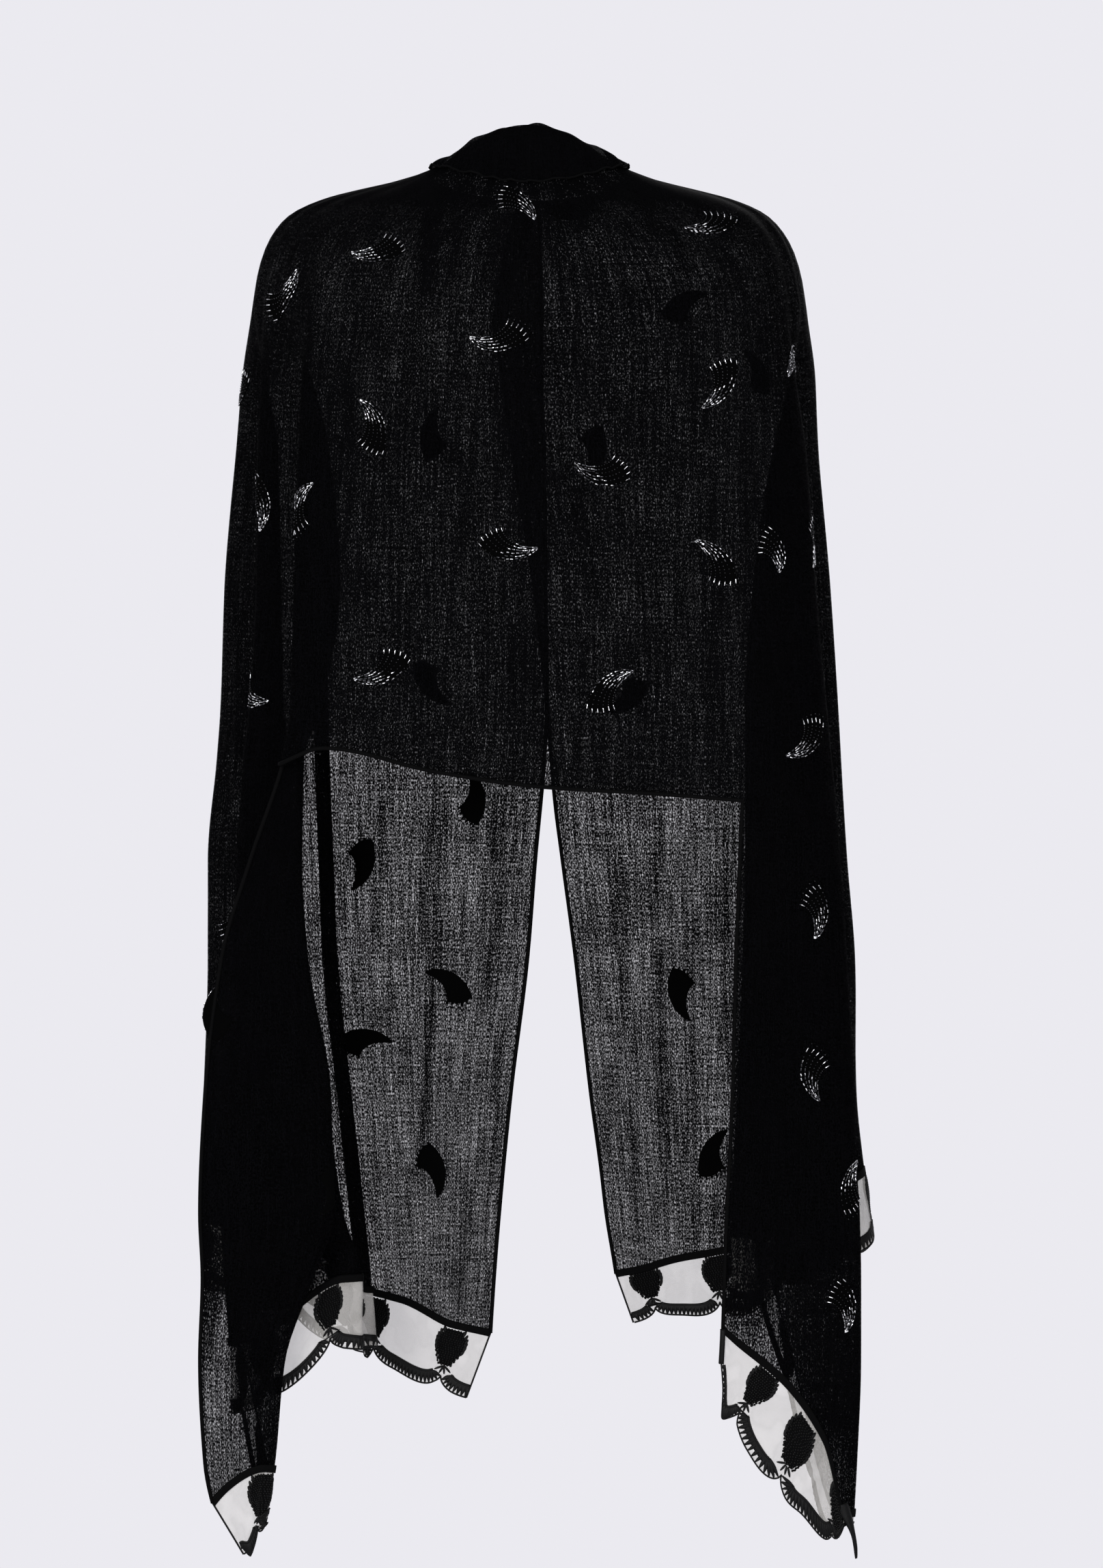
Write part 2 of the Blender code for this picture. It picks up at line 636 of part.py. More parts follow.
def main():
    for old in list(bpy.data.objects):
        bpy.data.objects.remove(old)
    collection = bpy.data.collections.new("cashmere_stole")
    bpy.context.scene.collection.children.link(collection)
    middle = float(np.interp(0.5, RING_SHARES, RING_STATIONS))
    middle = round(middle * 3) / 3
    below_hem = ROWS_TO_HEM - 1
    sheets = {
        "shoulder_left": (yoke_grid(0, middle), ("last", "low"), (("first", 0),)),
        "shoulder_right": (yoke_grid(middle, RING_END), ("first", "low"), (("last", 0),)),
        "back_panel": (back_grid(), ("first", "last", "top"), (("low", 0),)),
        "front_left": (fall_grid(0, LEFT_SIDE_START), ("last", "top"), (("first", 0),)),
        "side_left": (fall_grid(LEFT_SIDE_START, LEFT_END), ("first", "last", "top"), (("last", below_hem + 1),)),
        "front_right": (fall_grid(RIGHT_SIDE_START, RING_END), ("first", "top"), (("last", 0),)),
        "side_right": (fall_grid(RIGHT_END, RIGHT_SIDE_START), ("first", "last", "top"), (("first", below_hem + 1),)),
        "collar_flap": (collar_grid(), (), (("low", 0),)),
    }
    for name, (points, ends, hems) in sheets.items():
        sheet = grid_mesh(name, trimmed(points, ends), hems)
        walled(sheet, collection, cloth(name, (0.006, 0.006, 0.007), 0.85))
    borders = {
        "border_front_left": (0, LEFT_SIDE_START, ("last",)),
        "border_side_left": (LEFT_SIDE_START, LEFT_END, ("first",)),
        "border_side_right": (RIGHT_END, RIGHT_SIDE_START, ("last",)),
        "border_front_right": (RIGHT_SIDE_START, RING_END, ("first",)),
    }
    for name, (start, end, cut) in borders.items():
        points = trimmed(trimmed(border_grid(start, end), cut), cut)
        walled(grid_mesh(name, points), collection, cloth(name, (0.57, 0.56, 0.55), 0.6), BORDER_WALL)
    border_tip(collection, cloth("border_tip", (0.05, 0.05, 0.05), 0.7))


main()
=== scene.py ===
# %% [markdown]
# # A sheer black cashmere stole, worn and seen from behind
# The real thing is one long rectangle of very open black cashmere gauze. Both long edges are rolled into a
# thin hem. Each short end carries a band of pale organza, cut to scallops and worked in black satin
# stitch, and leaves of silver glass beads lie scattered over the gauze. The cloth keeps the hollow form it
# has when worn: over the shoulders, round both arms, and down in front.
#
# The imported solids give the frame: every piece below sits where they are, and stands for one or more of
# them.

import math

import bpy
import numpy as np
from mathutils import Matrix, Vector


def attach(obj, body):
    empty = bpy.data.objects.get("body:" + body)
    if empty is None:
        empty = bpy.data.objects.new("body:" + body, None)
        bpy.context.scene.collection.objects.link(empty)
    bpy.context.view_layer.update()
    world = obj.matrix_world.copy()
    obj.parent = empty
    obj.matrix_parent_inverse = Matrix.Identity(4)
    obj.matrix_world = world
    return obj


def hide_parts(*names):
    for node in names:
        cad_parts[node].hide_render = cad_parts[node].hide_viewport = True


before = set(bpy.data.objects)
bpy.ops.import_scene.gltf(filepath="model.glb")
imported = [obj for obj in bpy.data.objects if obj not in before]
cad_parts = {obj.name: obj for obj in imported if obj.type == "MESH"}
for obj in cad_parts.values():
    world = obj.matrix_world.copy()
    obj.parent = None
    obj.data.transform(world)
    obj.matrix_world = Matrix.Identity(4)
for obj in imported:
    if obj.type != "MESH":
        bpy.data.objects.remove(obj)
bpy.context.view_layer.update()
MM = 0.001
print("solids in the frame:", sorted(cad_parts))

# %% [markdown]
# ## The form of the draped cloth
# A worn stole is a ring of cloth at every height: down the left front, round the arm, in folds behind it,
# across the back and the same on the right. It could be draped by simulation, but the folds of a real
# stole are set by how it was put on, so here each fold's place is read from a short table, and the cloth
# is a smooth curve through them. The tables hold real sizes in millimetres, as they are seen from the
# camera's distance.

# %% Driving sizes
BORDER_DEPTH = 55 * MM
SCALLOP_WIDTH = 58 * MM
SCALLOP_NOTCH = 14 * MM
YOKE_Z = -85 * MM
NECK_HALF_WIDTH = 74 * MM
NECK_HALF_DEPTH = 60 * MM
NECK_BACK_Z = 49.5 * MM
NECK_SIDE_Z = 17 * MM
NECK_FRONT_Z = 8 * MM
NECK_X = -2 * MM
FRONT_LAP = 6 * MM
HEM_STATION = 0.12
HEM_LEVEL = -445 * MM
BACK_BOW = 5 * MM
# The right long edge hangs at the back panel's depth above the upper height and at the folds' below the
# lower.
EDGE_LEVELS = (-720 * MM, -460 * MM)

# The widths below are those seen from behind, from this eye point, so each is set back to its own depth.
EYE_X = 15.6 * MM
EYE_Z = -453 * MM
EYE_DISTANCE = 3380 * MM

# Left side, in mm: the height, then where each fold of the ring lies. inner is the edge at the front
# opening, tuck the narrow fold in the front fall, side the outside of the arm, and in_1, out_1, in_2,
# out_2 the folds behind the arm, in order. tuck_depth goes from 0, none, to 1.
LEFT_COLUMNS = "z inner tuck tuck_depth side in_1 out_1 in_2 out_2".split()
LEFT_ROWS = (
    (-60, 9, -150, 0.0, -213, -214, -207, -194, -176),
    (-85, 8, -152, 0.0, -216, -214, -207, -193, -175),
    (-140, 8, -156, 0.1, -224, -205, -209, -170, -177),
    (-200, 10, -160, 0.6, -228, -196, -212, -156, -178),
    (-300, 11, -163, 1.0, -236, -194, -213, -148, -180),
    (-392, 12, -162, 1.0, -239, -192, -218, -162, -184),
    (-434, 10, -161, 1.0, -242, -188, -223, -176, -192),
    (-512, 3, -158, 1.0, -249, -183, -228, -177, -218),
    (-587, -3, -155, 1.0, -249, -178, -232, -172, -240),
    (-693, -16, -144, 1.0, -254, -160, -238, -154, -253),
    (-786, -25, -134, 1.0, -257, -146, -241, -152, -257),
    (-836, -29, -129, 1.0, -252, -132, -238, -168, -255),
    (-900, -33, -126, 1.0, -250, -132, -233, -190, -257),
    (-980, -37, -122, 1.0, -248, -132, -231, -198, -253),
    (-1050, -40, -118, 1.0, -246, -132, -231, -212, -236),
)

# Right side: crease is a soft fold in the front fall, in_1 and out_1 the folds behind the arm, and edge
# the long edge of the stole, which leaves the back hem here and runs down beside the folds.
RIGHT_COLUMNS = "z inner crease side in_1 out_1 edge".split()
RIGHT_ROWS = (
    (-60, -30, 120, 211, 207, 198, 166),
    (-85, -30, 121, 213, 208, 198, 167),
    (-140, -22, 123, 220, 200, 204, 168),
    (-200, -14, 124, 222, 186, 212, 168),
    (-300, 2, 126, 230, 172, 219, 168),
    (-392, 12, 128, 236, 166, 227, 167),
    (-465, 18, 128, 240, 166, 234, 165),
    (-512, 24, 128, 243, 166, 238, 163),
    (-587, 34, 128, 249, 164, 243, 160),
    (-693, 46, 130, 252, 160, 249, 157),
    (-752, 54, 132, 258, 157, 251, 154),
    (-786, 58, 133, 263, 156, 253, 152),
    (-836, 66, 134, 260, 156, 254, 150),
    (-900, 73, 136, 256, 156, 254, 148),
    (-980, 80, 138, 252, 156, 251, 147),
    (-1050, 86, 140, 250, 156, 247, 146),
)

# How far behind or before the shoulder line each layer hangs, in mm: front is the front falls, layer_1 to
# layer_4 the folds behind the arms, from the arm outwards, and back the back panel.
DEPTH_COLUMNS = "z front side layer_1 layer_2 layer_3 layer_4 back".split()
DEPTH_ROWS = (
    (-60, 99, 12, -38, -58, -76, -88, -97),
    (-85, 104, 12, -38, -59, -77, -90, -100),
    (-200, 116, 14, -24, -46, -66, -86, -106),
    (-440, 120, 16, -20, -42, -64, -86, -106),
    (-700, 113, 16, -20, -40, -60, -80, -98),
    (-1050, 103, 12, -20, -38, -56, -74, -90),
)

# The end seam, by ring station from the front opening: its height in mm.
SEAM_COLUMNS = "station z".split()
LEFT_SEAM = (
    (0, -879), (1, -872), (2, -853), (3, -846), (6, -845), (8, -808), (10, -790), (12, -798),
    (13, -835), (14, -837), (15, -884), (16, -887), (17, -985), (18, -984), (19, -1011),
)
RIGHT_SEAM = (
    (0, -833), (1, -829), (2, -822), (4, -812), (5, -786), (7, -752), (9, -775),
    (10, -800), (11, -803), (12, -1016), (13, -1019), (13.4, -960), (14, -912), (15, -876),
)

# The back hem, in mm.
HEM_COLUMNS = "x z".split()
HEM_ROWS = ((-192, -438), (-162, -426), (-71, -444), (8, -455), (105, -461), (166, -466))

# From the neck to the top of the falls: the share of the way out and down, over the shoulder, behind and
# in front.
YOKE_COLUMNS = "step side_out side_down back_out back_down front_out front_down".split()
YOKE_ROWS = (
    (0.00, 0.00, 0.00, 0.00, 0.00, 0.00, 0.00),
    (0.12, 0.16, 0.040, 0.06, 0.15, 0.12, 0.06),
    (0.24, 0.30, 0.080, 0.14, 0.30, 0.26, 0.15),
    (0.38, 0.45, 0.125, 0.34, 0.45, 0.42, 0.28),
    (0.52, 0.62, 0.190, 0.56, 0.58, 0.58, 0.44),
    (0.66, 0.80, 0.310, 0.74, 0.71, 0.74, 0.62),
    (0.80, 0.91, 0.500, 0.88, 0.84, 0.88, 0.80),
    (0.90, 0.97, 0.740, 0.96, 0.93, 0.95, 0.92),
    (1.00, 1.00, 1.00, 1.00, 1.00, 1.00, 1.00),
)

# Soft upright folds in the back panel and the front falls, in mm: where each starts and ends, its half
# width and how far it stands out.
FOLD_COLUMNS = "x_top z_top x_low z_low half_width depth".split()
BACK_FOLDS = (
    (-112, -10, -150, -430, 13, 7),
    (-70, 0, -104, -380, 10, 5),
    (-44, 5, -52, -300, 9, 5),
    (20, 5, 22, -330, 10, 5),
    (62, 0, 84, -400, 12, 6),
    (104, -10, 132, -460, 12, 7),
    (-10, -60, -22, -455, 16, 4),
)
FRONT_FOLDS = (
    (-60, -90, -78, -860, 15, 6),
    (-102, -90, -112, -620, 11, 5),
    (-190, -90, -196, -800, 12, 6),
    (70, -90, 100, -820, 14, 6),
    (168, -90, 176, -800, 13, 6),
)

LEFT_STATIONS = 20
BACK_STATIONS = 7
RIGHT_STATIONS = 16
LEFT_SIDE_START = 10
LEFT_END = LEFT_STATIONS - 1
RIGHT_END = LEFT_END + BACK_STATIONS + 1
RING_END = LEFT_STATIONS + BACK_STATIONS + RIGHT_STATIONS - 1
RIGHT_SIDE_START = RING_END - 7


def smooth(rows, columns, name, at):
    """Reads one named column of a table at any value of its first column, without overshoot."""
    table = np.array(sorted(rows), dtype=float)
    keys = table[:, 0]
    values = table[:, columns.index(name)]
    step = np.diff(keys)
    slope = np.diff(values) / step
    pair = slope[:-1] * slope[1:]
    total = slope[:-1] + slope[1:]
    safe = np.where(pair > 0, total, 1.0)
    tangent = np.concatenate(([slope[0]], np.where(pair > 0, 2 * pair / safe, 0.0), [slope[-1]]))
    at = np.clip(np.asarray(at, dtype=float), keys[0], keys[-1])
    i = np.clip(np.searchsorted(keys, at) - 1, 0, len(keys) - 2)
    t = (at - keys[i]) / step[i]
    rise = (3 - 2 * t) * t * t
    start = t * (1 - t) ** 2
    finish = t * t * (t - 1)
    ends = values[i] * (1 - rise) + values[i + 1] * rise
    return ends + step[i] * (start * tangent[i] + finish * tangent[i + 1])


def lengths(points):
    """How far along a row of points each one lies."""
    return np.concatenate(([0], np.cumsum(np.linalg.norm(np.diff(points, axis=0), axis=1))))


def unit(vectors):
    return vectors / np.linalg.norm(vectors, axis=-1, keepdims=True)


def read_rows(at, keys, rows):
    """A row of values, read column by column between its keys."""
    return np.stack([np.interp(at, keys, column) for column in rows.T], axis=-1)


def depth(name, z):
    return smooth(DEPTH_ROWS, DEPTH_COLUMNS, name, z / MM) * MM


def seen_height(z, y):
    """The height at which a point at this height and depth is seen, on the plane of the shoulders."""
    return EYE_Z + (z - EYE_Z) / (1 + y / EYE_DISTANCE)


def true_height(z, y):
    return EYE_Z + (z - EYE_Z) * (1 + y / EYE_DISTANCE)


def true_x(x, y):
    return EYE_X + (x - EYE_X) * (1 + y / EYE_DISTANCE)


def side_x(rows, columns, name, z, y):
    seen = smooth(rows, columns, name, seen_height(z, y) / MM) * MM
    return true_x(seen, y)


def fold_reach(x, before, after):
    """Where the two control points of a turn go, so that the smooth curve just reaches x."""
    return (48 * x - before - after) / 46


def left_stations(z):
    """The control points of the ring's left half, from the front opening to the last fold behind the arm."""
    front, side = depth("front", z), depth("side", z)
    one, two, three, four = (depth(f"layer_{i}", z) for i in (1, 2, 3, 4))

    def read(name, y):
        return side_x(LEFT_ROWS, LEFT_COLUMNS, name, z, y)

    inner, tuck, arm = read("inner", front), read("tuck", front), read("side", side)
    folded = smooth(LEFT_ROWS, LEFT_COLUMNS, "tuck_depth", z / MM)
    in_1, out_1 = read("in_1", one), read("out_1", two)
    in_2, out_2 = read("in_2", three), read("out_2", four)
    turn_1 = fold_reach(in_1, arm, out_1)
    turn_2 = fold_reach(out_1, in_1, in_2)
    turn_3 = fold_reach(in_2, out_1, out_2)
    last = (6 * out_2 - turn_3) / 5
    laid = 1 - folded
    return [
        (inner, front),
        (inner * 0.7 + tuck * 0.3, front),
        (tuck + 26 * MM, front),
        (tuck + (8 * laid - 8 * folded) * MM, front),
        (tuck + (3 * laid - 8 * folded) * MM, front - 6.5 * MM * folded),
        (tuck + (-3 * laid + 7 * folded) * MM, front - 9 * MM * folded - 1 * MM),
        (tuck + (-8 * laid + 7 * folded) * MM, front - 17 * MM * folded - 1 * MM),
        (tuck - 26 * MM, front - 15 * MM * folded - 3 * MM),
        (arm + 40 * MM, front - 30 * MM),
        (arm + 6 * MM, front - 64 * MM),
        (arm - 2 * MM, side),
        (arm + 3 * MM, side - 30 * MM),
        ((arm + turn_1) / 2, one + 2 * MM),
        (turn_1, one),
        (turn_1, two),
        (turn_2, two),
        (turn_2, three),
        (turn_3, three),
        (turn_3, four),
        (last, four),
    ]


def right_stations(z):
    """The control points of the right half, from the front opening to the long edge or the back panel."""
    front, side = depth("front", z) + FRONT_LAP, depth("side", z)
    one, two, four = depth("layer_1", z), depth("layer_2", z), depth("layer_4", z)
    back = depth("back", z)
    lower, upper = EDGE_LEVELS
    near = four + (back - four) * np.clip((z - lower) / (upper - lower), 0, 1)

    def read(name, y):
        return side_x(RIGHT_ROWS, RIGHT_COLUMNS, name, z, y)

    inner, crease, arm = read("inner", front), read("crease", front), read("side", side)
    in_1, out_1, edge = read("in_1", one), read("out_1", two), read("edge", near)
    turn_1 = fold_reach(in_1, arm, out_1)
    turn_2 = fold_reach(out_1, in_1, edge)
    return [
        (inner, front),
        (inner * 0.7 + crease * 0.3, front),
        (crease - 24 * MM, front - 2 * MM),
        (crease, front - 8 * MM),
        (crease + 24 * MM, front - 6 * MM),
        (arm - 40 * MM, front - 30 * MM),
        (arm - 6 * MM, front - 64 * MM),
        (arm + 2 * MM, side),
        (arm - 3 * MM, side - 30 * MM),
        ((arm + turn_1) / 2, one + 2 * MM),
        (turn_1, one),
        (turn_1, two),
        (turn_2, two),
        (turn_2, (two + 2 * near) / 3),
        ((turn_2 + 2 * edge) / 3, near),
        (edge, near),
    ]


def back_stations(z):
    """The control points across the back, left to right. The first turns back over the last left fold."""
    back = depth("back", z)
    last = left_stations(z)[-1][0]
    right = side_x(RIGHT_ROWS, RIGHT_COLUMNS, "edge", z, back)
    points = [(last, back), (last * 0.8 + right * 0.2, back - 3 * MM)]
    for share in (0.36, 0.52, 0.67, 0.80, 0.91):
        points.append((last + (right - last) * share, back - BACK_BOW * np.sin(np.pi * share)))
    return points


def ring(z):
    """All control points at these heights, left front to right front."""
    points = left_stations(z) + back_stations(z) + right_stations(z)[::-1]
    return np.stack([np.stack(np.broadcast_arrays(x, y), axis=-1) for x, y in points], axis=-2)


def eased(share):
    """A share from 0 to 1, with a soft start and a soft end."""
    return share * share * (3 - 2 * share)


def soft_folds(rows, x, z):
    """How far the upright folds move a point."""
    moved = np.zeros_like(x)
    for row in rows:
        fold = dict(zip(FOLD_COLUMNS, row))
        along = np.clip((z / MM - fold["z_top"]) / (fold["z_low"] - fold["z_top"]), 0, 1)
        centre = fold["x_top"] + (fold["x_low"] - fold["x_top"]) * along
        strength = np.sin(np.pi * np.clip(0.12 + 0.88 * along, 0, 1)) ** 0.7
        moved += fold["depth"] * MM * strength * np.exp(-(((x / MM - centre) / fold["half_width"]) ** 2))
    return moved


def place(station, z):
    """The cloth's point at a ring station and a height. Both may be arrays of one shape."""
    station, z = np.broadcast_arrays(np.asarray(station, float), np.asarray(z, float))
    heights, which = np.unique(z, return_inverse=True)
    points = ring(heights)[which.reshape(z.shape)]
    last = points.shape[-2] - 1
    first = np.clip(np.floor(station).astype(int), 0, last - 1)
    t = (station - first)[..., None]

    def control(i):
        inside = np.take_along_axis(points, np.clip(i, 0, last)[..., None, None], axis=-2)[..., 0, :]
        before = 2 * points[..., 0, :] - points[..., 1, :]
        after = 2 * points[..., last, :] - points[..., last - 1, :]
        inside = np.where((i < 0)[..., None], before, inside)
        return np.where((i > last)[..., None], after, inside)

    mixed = (
        control(first - 1) * (1 - t) ** 3
        + control(first) * (3 * t**3 - 6 * t**2 + 4)
        + control(first + 1) * (-3 * t**3 + 3 * t**2 + 3 * t + 1)
        + control(first + 2) * t**3
    ) / 6
    x, y = mixed[..., 0], mixed[..., 1]
    on_back = np.clip((station - LEFT_END - 0.5) / 1.5, 0, 1) * np.clip((RIGHT_END - station) / 1.5, 0, 1)
    from_front = np.minimum(station, RING_END - station)
    on_front = np.clip((8.5 - from_front) / 1.5, 0, 1) * np.clip((-z - 0.09) / 0.05, 0, 1)
    y = y - on_back * soft_folds(BACK_FOLDS, x, z) + on_front * soft_folds(FRONT_FOLDS, x, z)
    return np.stack((x, y, z), axis=-1)


def ring_share():
    """How far round the ring each station lies at the top of the falls, as a share, and the ring's length."""
    stations = np.linspace(0, RING_END, 20 * RING_END + 1)
    travelled = lengths(place(stations, np.full_like(stations, YOKE_Z)))
    return stations, travelled / travelled[-1], travelled[-1]


RING_STATIONS, RING_SHARES, RING_LENGTH = ring_share()
print("the ring is", round(RING_LENGTH, 3), "m long at the top of the falls")


def yoke(station, step):
    """The cloth from the neck, step 0, to the top of the falls, step 1."""
    station, step = np.broadcast_arrays(np.asarray(station, float), np.asarray(step, float))
    share = np.interp(station, RING_STATIONS, RING_SHARES)
    angle = (2 * share - 1) * np.pi
    angle = angle * (1 + 0.03 * np.abs(angle) / np.pi)
    level = np.where(
        np.cos(angle) > 0,
        NECK_SIDE_Z + (NECK_BACK_Z - NECK_SIDE_Z) * np.abs(np.cos(angle)) ** 2.3,
        NECK_SIDE_Z + (NECK_FRONT_Z - NECK_SIDE_Z) * np.abs(np.cos(angle)) ** 1.5,
    )
    lap = FRONT_LAP * np.clip((share - 0.5) * 4 - 1, 0, 1)
    neck = np.stack(
        (NECK_X + NECK_HALF_WIDTH * np.sin(angle), -NECK_HALF_DEPTH * np.cos(angle) + lap, level), axis=-1
    )
    fall = place(station, np.full_like(station, YOKE_Z))
    sideways = np.sin(angle) ** 2
    behind = np.cos(angle) > 0

    def profile(kind):
        over = smooth(YOKE_ROWS, YOKE_COLUMNS, "side_" + kind, step)
        rear = smooth(YOKE_ROWS, YOKE_COLUMNS, "back_" + kind, step)
        fore = smooth(YOKE_ROWS, YOKE_COLUMNS, "front_" + kind, step)
        return over * sideways + np.where(behind, rear, fore) * (1 - sideways)

    out, down = profile("out"), profile("down")
    shape = np.stack((out, out, down), axis=-1)
    point = neck + (fall - neck) * shape
    faded = np.clip(step / 0.25, 0, 1) * np.clip((1 - step) / 0.3, 0, 1) * behind * (1 - sideways)
    point[..., 1] -= faded * soft_folds(BACK_FOLDS, point[..., 0], np.minimum(point[..., 2], -0.02))
    return point


# %% Lengths along the ring, and the seams
def seam_height(station):
    """The height of the end seam at a ring station, on either side."""
    station = np.asarray(station, float)
    on_left = station <= LEFT_END
    left = smooth(LEFT_SEAM, SEAM_COLUMNS, "z", station)
    right = smooth(RIGHT_SEAM, SEAM_COLUMNS, "z", RING_END - station)
    seen = np.where(on_left, left, right) * MM
    return true_height(seen, place(station, seen)[..., 1])


def hem_height(stations):
    """The height of the back hem. Beyond the back it is that of the hem's nearer end."""
    inside = np.clip(stations, LEFT_END, RIGHT_END)
    x = place(inside, np.full_like(inside, HEM_LEVEL))[:, 0]
    return smooth(HEM_ROWS, HEM_COLUMNS, "z", x / MM) * MM


def scallop_depth(travelled, joints):
    """The border's full depth along an end: round tabs between its joints, a part of one at each corner."""
    joints = np.concatenate(([joints[0] - SCALLOP_WIDTH], joints, [joints[-1] + SCALLOP_WIDTH]))
    number = np.clip(np.searchsorted(joints, travelled, side="right") - 1, 0, len(joints) - 2)
    phase = np.clip((travelled - joints[number]) / (joints[number + 1] - joints[number]), 0, 1)
    tab = np.sqrt(np.clip(1 - (2 * phase - 1) ** 2, 0, 1))
    return BORDER_DEPTH - SCALLOP_NOTCH * (1 - tab)


def even_stations(start, end, pitch, level):
    """Ring stations an even length of cloth apart, measured at one height."""
    fine = np.linspace(start, end, 3000)
    travelled = lengths(place(fine, np.full_like(fine, level)))
    count = int(np.ceil(travelled[-1] / pitch))
    return np.interp(np.linspace(0, travelled[-1], count + 1), travelled, fine)


# %% Mesh helpers
def deselect():
    bpy.ops.object.select_all(action="DESELECT")


def new_object(name, vertices, faces):
    mesh = bpy.data.meshes.new(name)
    mesh.from_pydata(np.asarray(vertices).reshape(-1, 3).tolist(), [], faces)
    mesh.update()
    piece = bpy.data.objects.new(name, mesh)
    bpy.context.scene.collection.objects.link(piece)
    return piece


def apply_modifier(piece, modifier):
    deselect()
    piece.select_set(True)
    bpy.context.view_layer.objects.active = piece
    bpy.ops.object.modifier_apply(modifier=modifier.name)


def give_wall(piece, thickness):
    """Turns a sheet into a thin closed shell, half the wall to each side."""
    wall = piece.modifiers.new("wall", "SOLIDIFY")
    wall.thickness = thickness
    wall.offset = 0
    apply_modifier(piece, wall)


def numbered(shape, first=0):
    """The numbers of a grid's points, row by row."""
    return np.arange(shape[0] * shape[1]).reshape(shape[:2]) + first


def grid_faces(number):
    """The four-sided faces of a grid of numbered points. A point numbered below zero isn't there."""
    corners = np.stack((number[:-1, :-1], number[1:, :-1], number[1:, 1:], number[:-1, 1:]), axis=-1)
    return corners[(corners >= 0).all(axis=-1)].tolist()


def set_uv(mesh, across, along):
    """Writes the cloth's own lengths, in metres, as its UV map, so that the weave follows the cloth."""
    layer = mesh.uv_layers.new(name="weave")
    corner = np.zeros(len(mesh.loops), int)
    mesh.loops.foreach_get("vertex_index", corner)
    layer.data.foreach_set("uv", np.stack((across[corner], along[corner]), axis=-1).ravel())


def set_attribute(mesh, name, values):
    layer = mesh.attributes.new(name, "FLOAT", "POINT")
    layer.data.foreach_set("value", np.asarray(values, np.float32))


def smooth_shaded(piece):
    piece.data.shade_smooth()


def walled_sheet(name, points, faces, wall, uv=None, fullness=None):
    """A sheet made a thin closed shell. uv and fullness are what its finish reads."""
    piece = new_object(name, points, faces)
    if uv is not None:
        set_uv(piece.data, *uv)
    if fullness is not None:
        set_attribute(piece.data, "fullness", fullness)
    give_wall(piece, wall)
    smooth_shaded(piece)
    return piece


def finish_piece(piece, material, nodes=()):
    """Gives a piece its finish, its place in the frame and the solids that it stands for."""
    piece.data.materials.clear()
    piece.data.materials.append(material)
    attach(piece, "root")
    if nodes:
        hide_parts(*nodes)
    print(f"{piece.name}: {len(piece.data.polygons)} faces")
    return piece


def tube(name, path, radius, sides=8, round_ends=True):
    """A round cord of one thickness along a path: a curve with a bevel, made a mesh."""
    curve = bpy.data.curves.new(name, "CURVE")
    curve.dimensions = "3D"
    curve.bevel_depth = radius
    curve.bevel_resolution = max(0, sides // 4 - 1)
    curve.use_fill_caps = round_ends
    spline = curve.splines.new("POLY")
    spline.points.add(len(path) - 1)
    flat = np.column_stack((path, np.ones(len(path))))
    spline.points.foreach_set("co", flat.ravel())
    piece = bpy.data.objects.new(name, curve)
    bpy.context.scene.collection.objects.link(piece)
    deselect()
    piece.select_set(True)
    bpy.context.view_layer.objects.active = piece
    bpy.ops.object.convert(target="MESH")
    piece = bpy.context.view_layer.objects.active
    bpy.ops.object.mode_set(mode="EDIT")
    bpy.ops.mesh.select_all(action="SELECT")
    bpy.ops.mesh.remove_doubles(threshold=0.00001)
    bpy.ops.mesh.normals_make_consistent(inside=False)
    bpy.ops.object.mode_set(mode="OBJECT")
    smooth_shaded(piece)
    return piece


# %% [markdown]
# ## The weave
# Cashmere gauze is woven from fine, uneven yarn with open gaps between. Where a yarn is thicker there is a
# slub, a short dark streak, and the spacing drifts, so one layer before a bright wall looks like a grey
# net with upright streaks and a speckle. The yarns are far too many to model, so the weave is a pattern of
# cover: how much of each spot is yarn. It feeds Alpha, so light really passes through, and two layers get
# darker by themselves. One group makes the pattern for every gauze piece.

# %% Node helpers
def add_node(tree, kind, **settings):
    node = tree.nodes.new(kind)
    for name, value in settings.items():
        setattr(node, name, value)
    return node


def math_node(tree, operation, first, second=None, clamp=False):
    node = add_node(tree, "ShaderNodeMath", operation=operation, use_clamp=clamp)
    for socket, value in zip(node.inputs, (first, second)):
        if value is None:
            continue
        if isinstance(value, (int, float)):
            socket.default_value = value
        else:
            tree.links.new(value, socket)
    return node.outputs[0]


def stretched_noise(tree, vector, across, along, detail=2.0, roughness=0.5):
    """Noise on the cloth's own lengths, with its number of spots a metre across and along."""
    scale = add_node(tree, "ShaderNodeMapping", vector_type="POINT")
    scale.inputs["Scale"].default_value = (across, along, 1)
    tree.links.new(vector, scale.inputs["Vector"])
    noise = add_node(tree, "ShaderNodeTexNoise", noise_dimensions="2D")
    noise.inputs["Scale"].default_value = 1.0
    noise.inputs["Detail"].default_value = detail
    noise.inputs["Roughness"].default_value = roughness
    tree.links.new(scale.outputs["Vector"], noise.inputs["Vector"])
    return noise.outputs["Fac"]


def object_noise(tree, scale, detail):
    """Noise in the piece's own metres."""
    coordinates = add_node(tree, "ShaderNodeTexCoord")
    noise = add_node(tree, "ShaderNodeTexNoise", noise_dimensions="3D")
    noise.inputs["Scale"].default_value = scale
    noise.inputs["Detail"].default_value = detail
    tree.links.new(coordinates.outputs["Object"], noise.inputs["Vector"])
    return noise.outputs["Fac"]


def plus(tree, total, value, weight):
    """A sum with one more value in it, by its weight."""
    return math_node(tree, "ADD", total, math_node(tree, "MULTIPLY", value, weight))


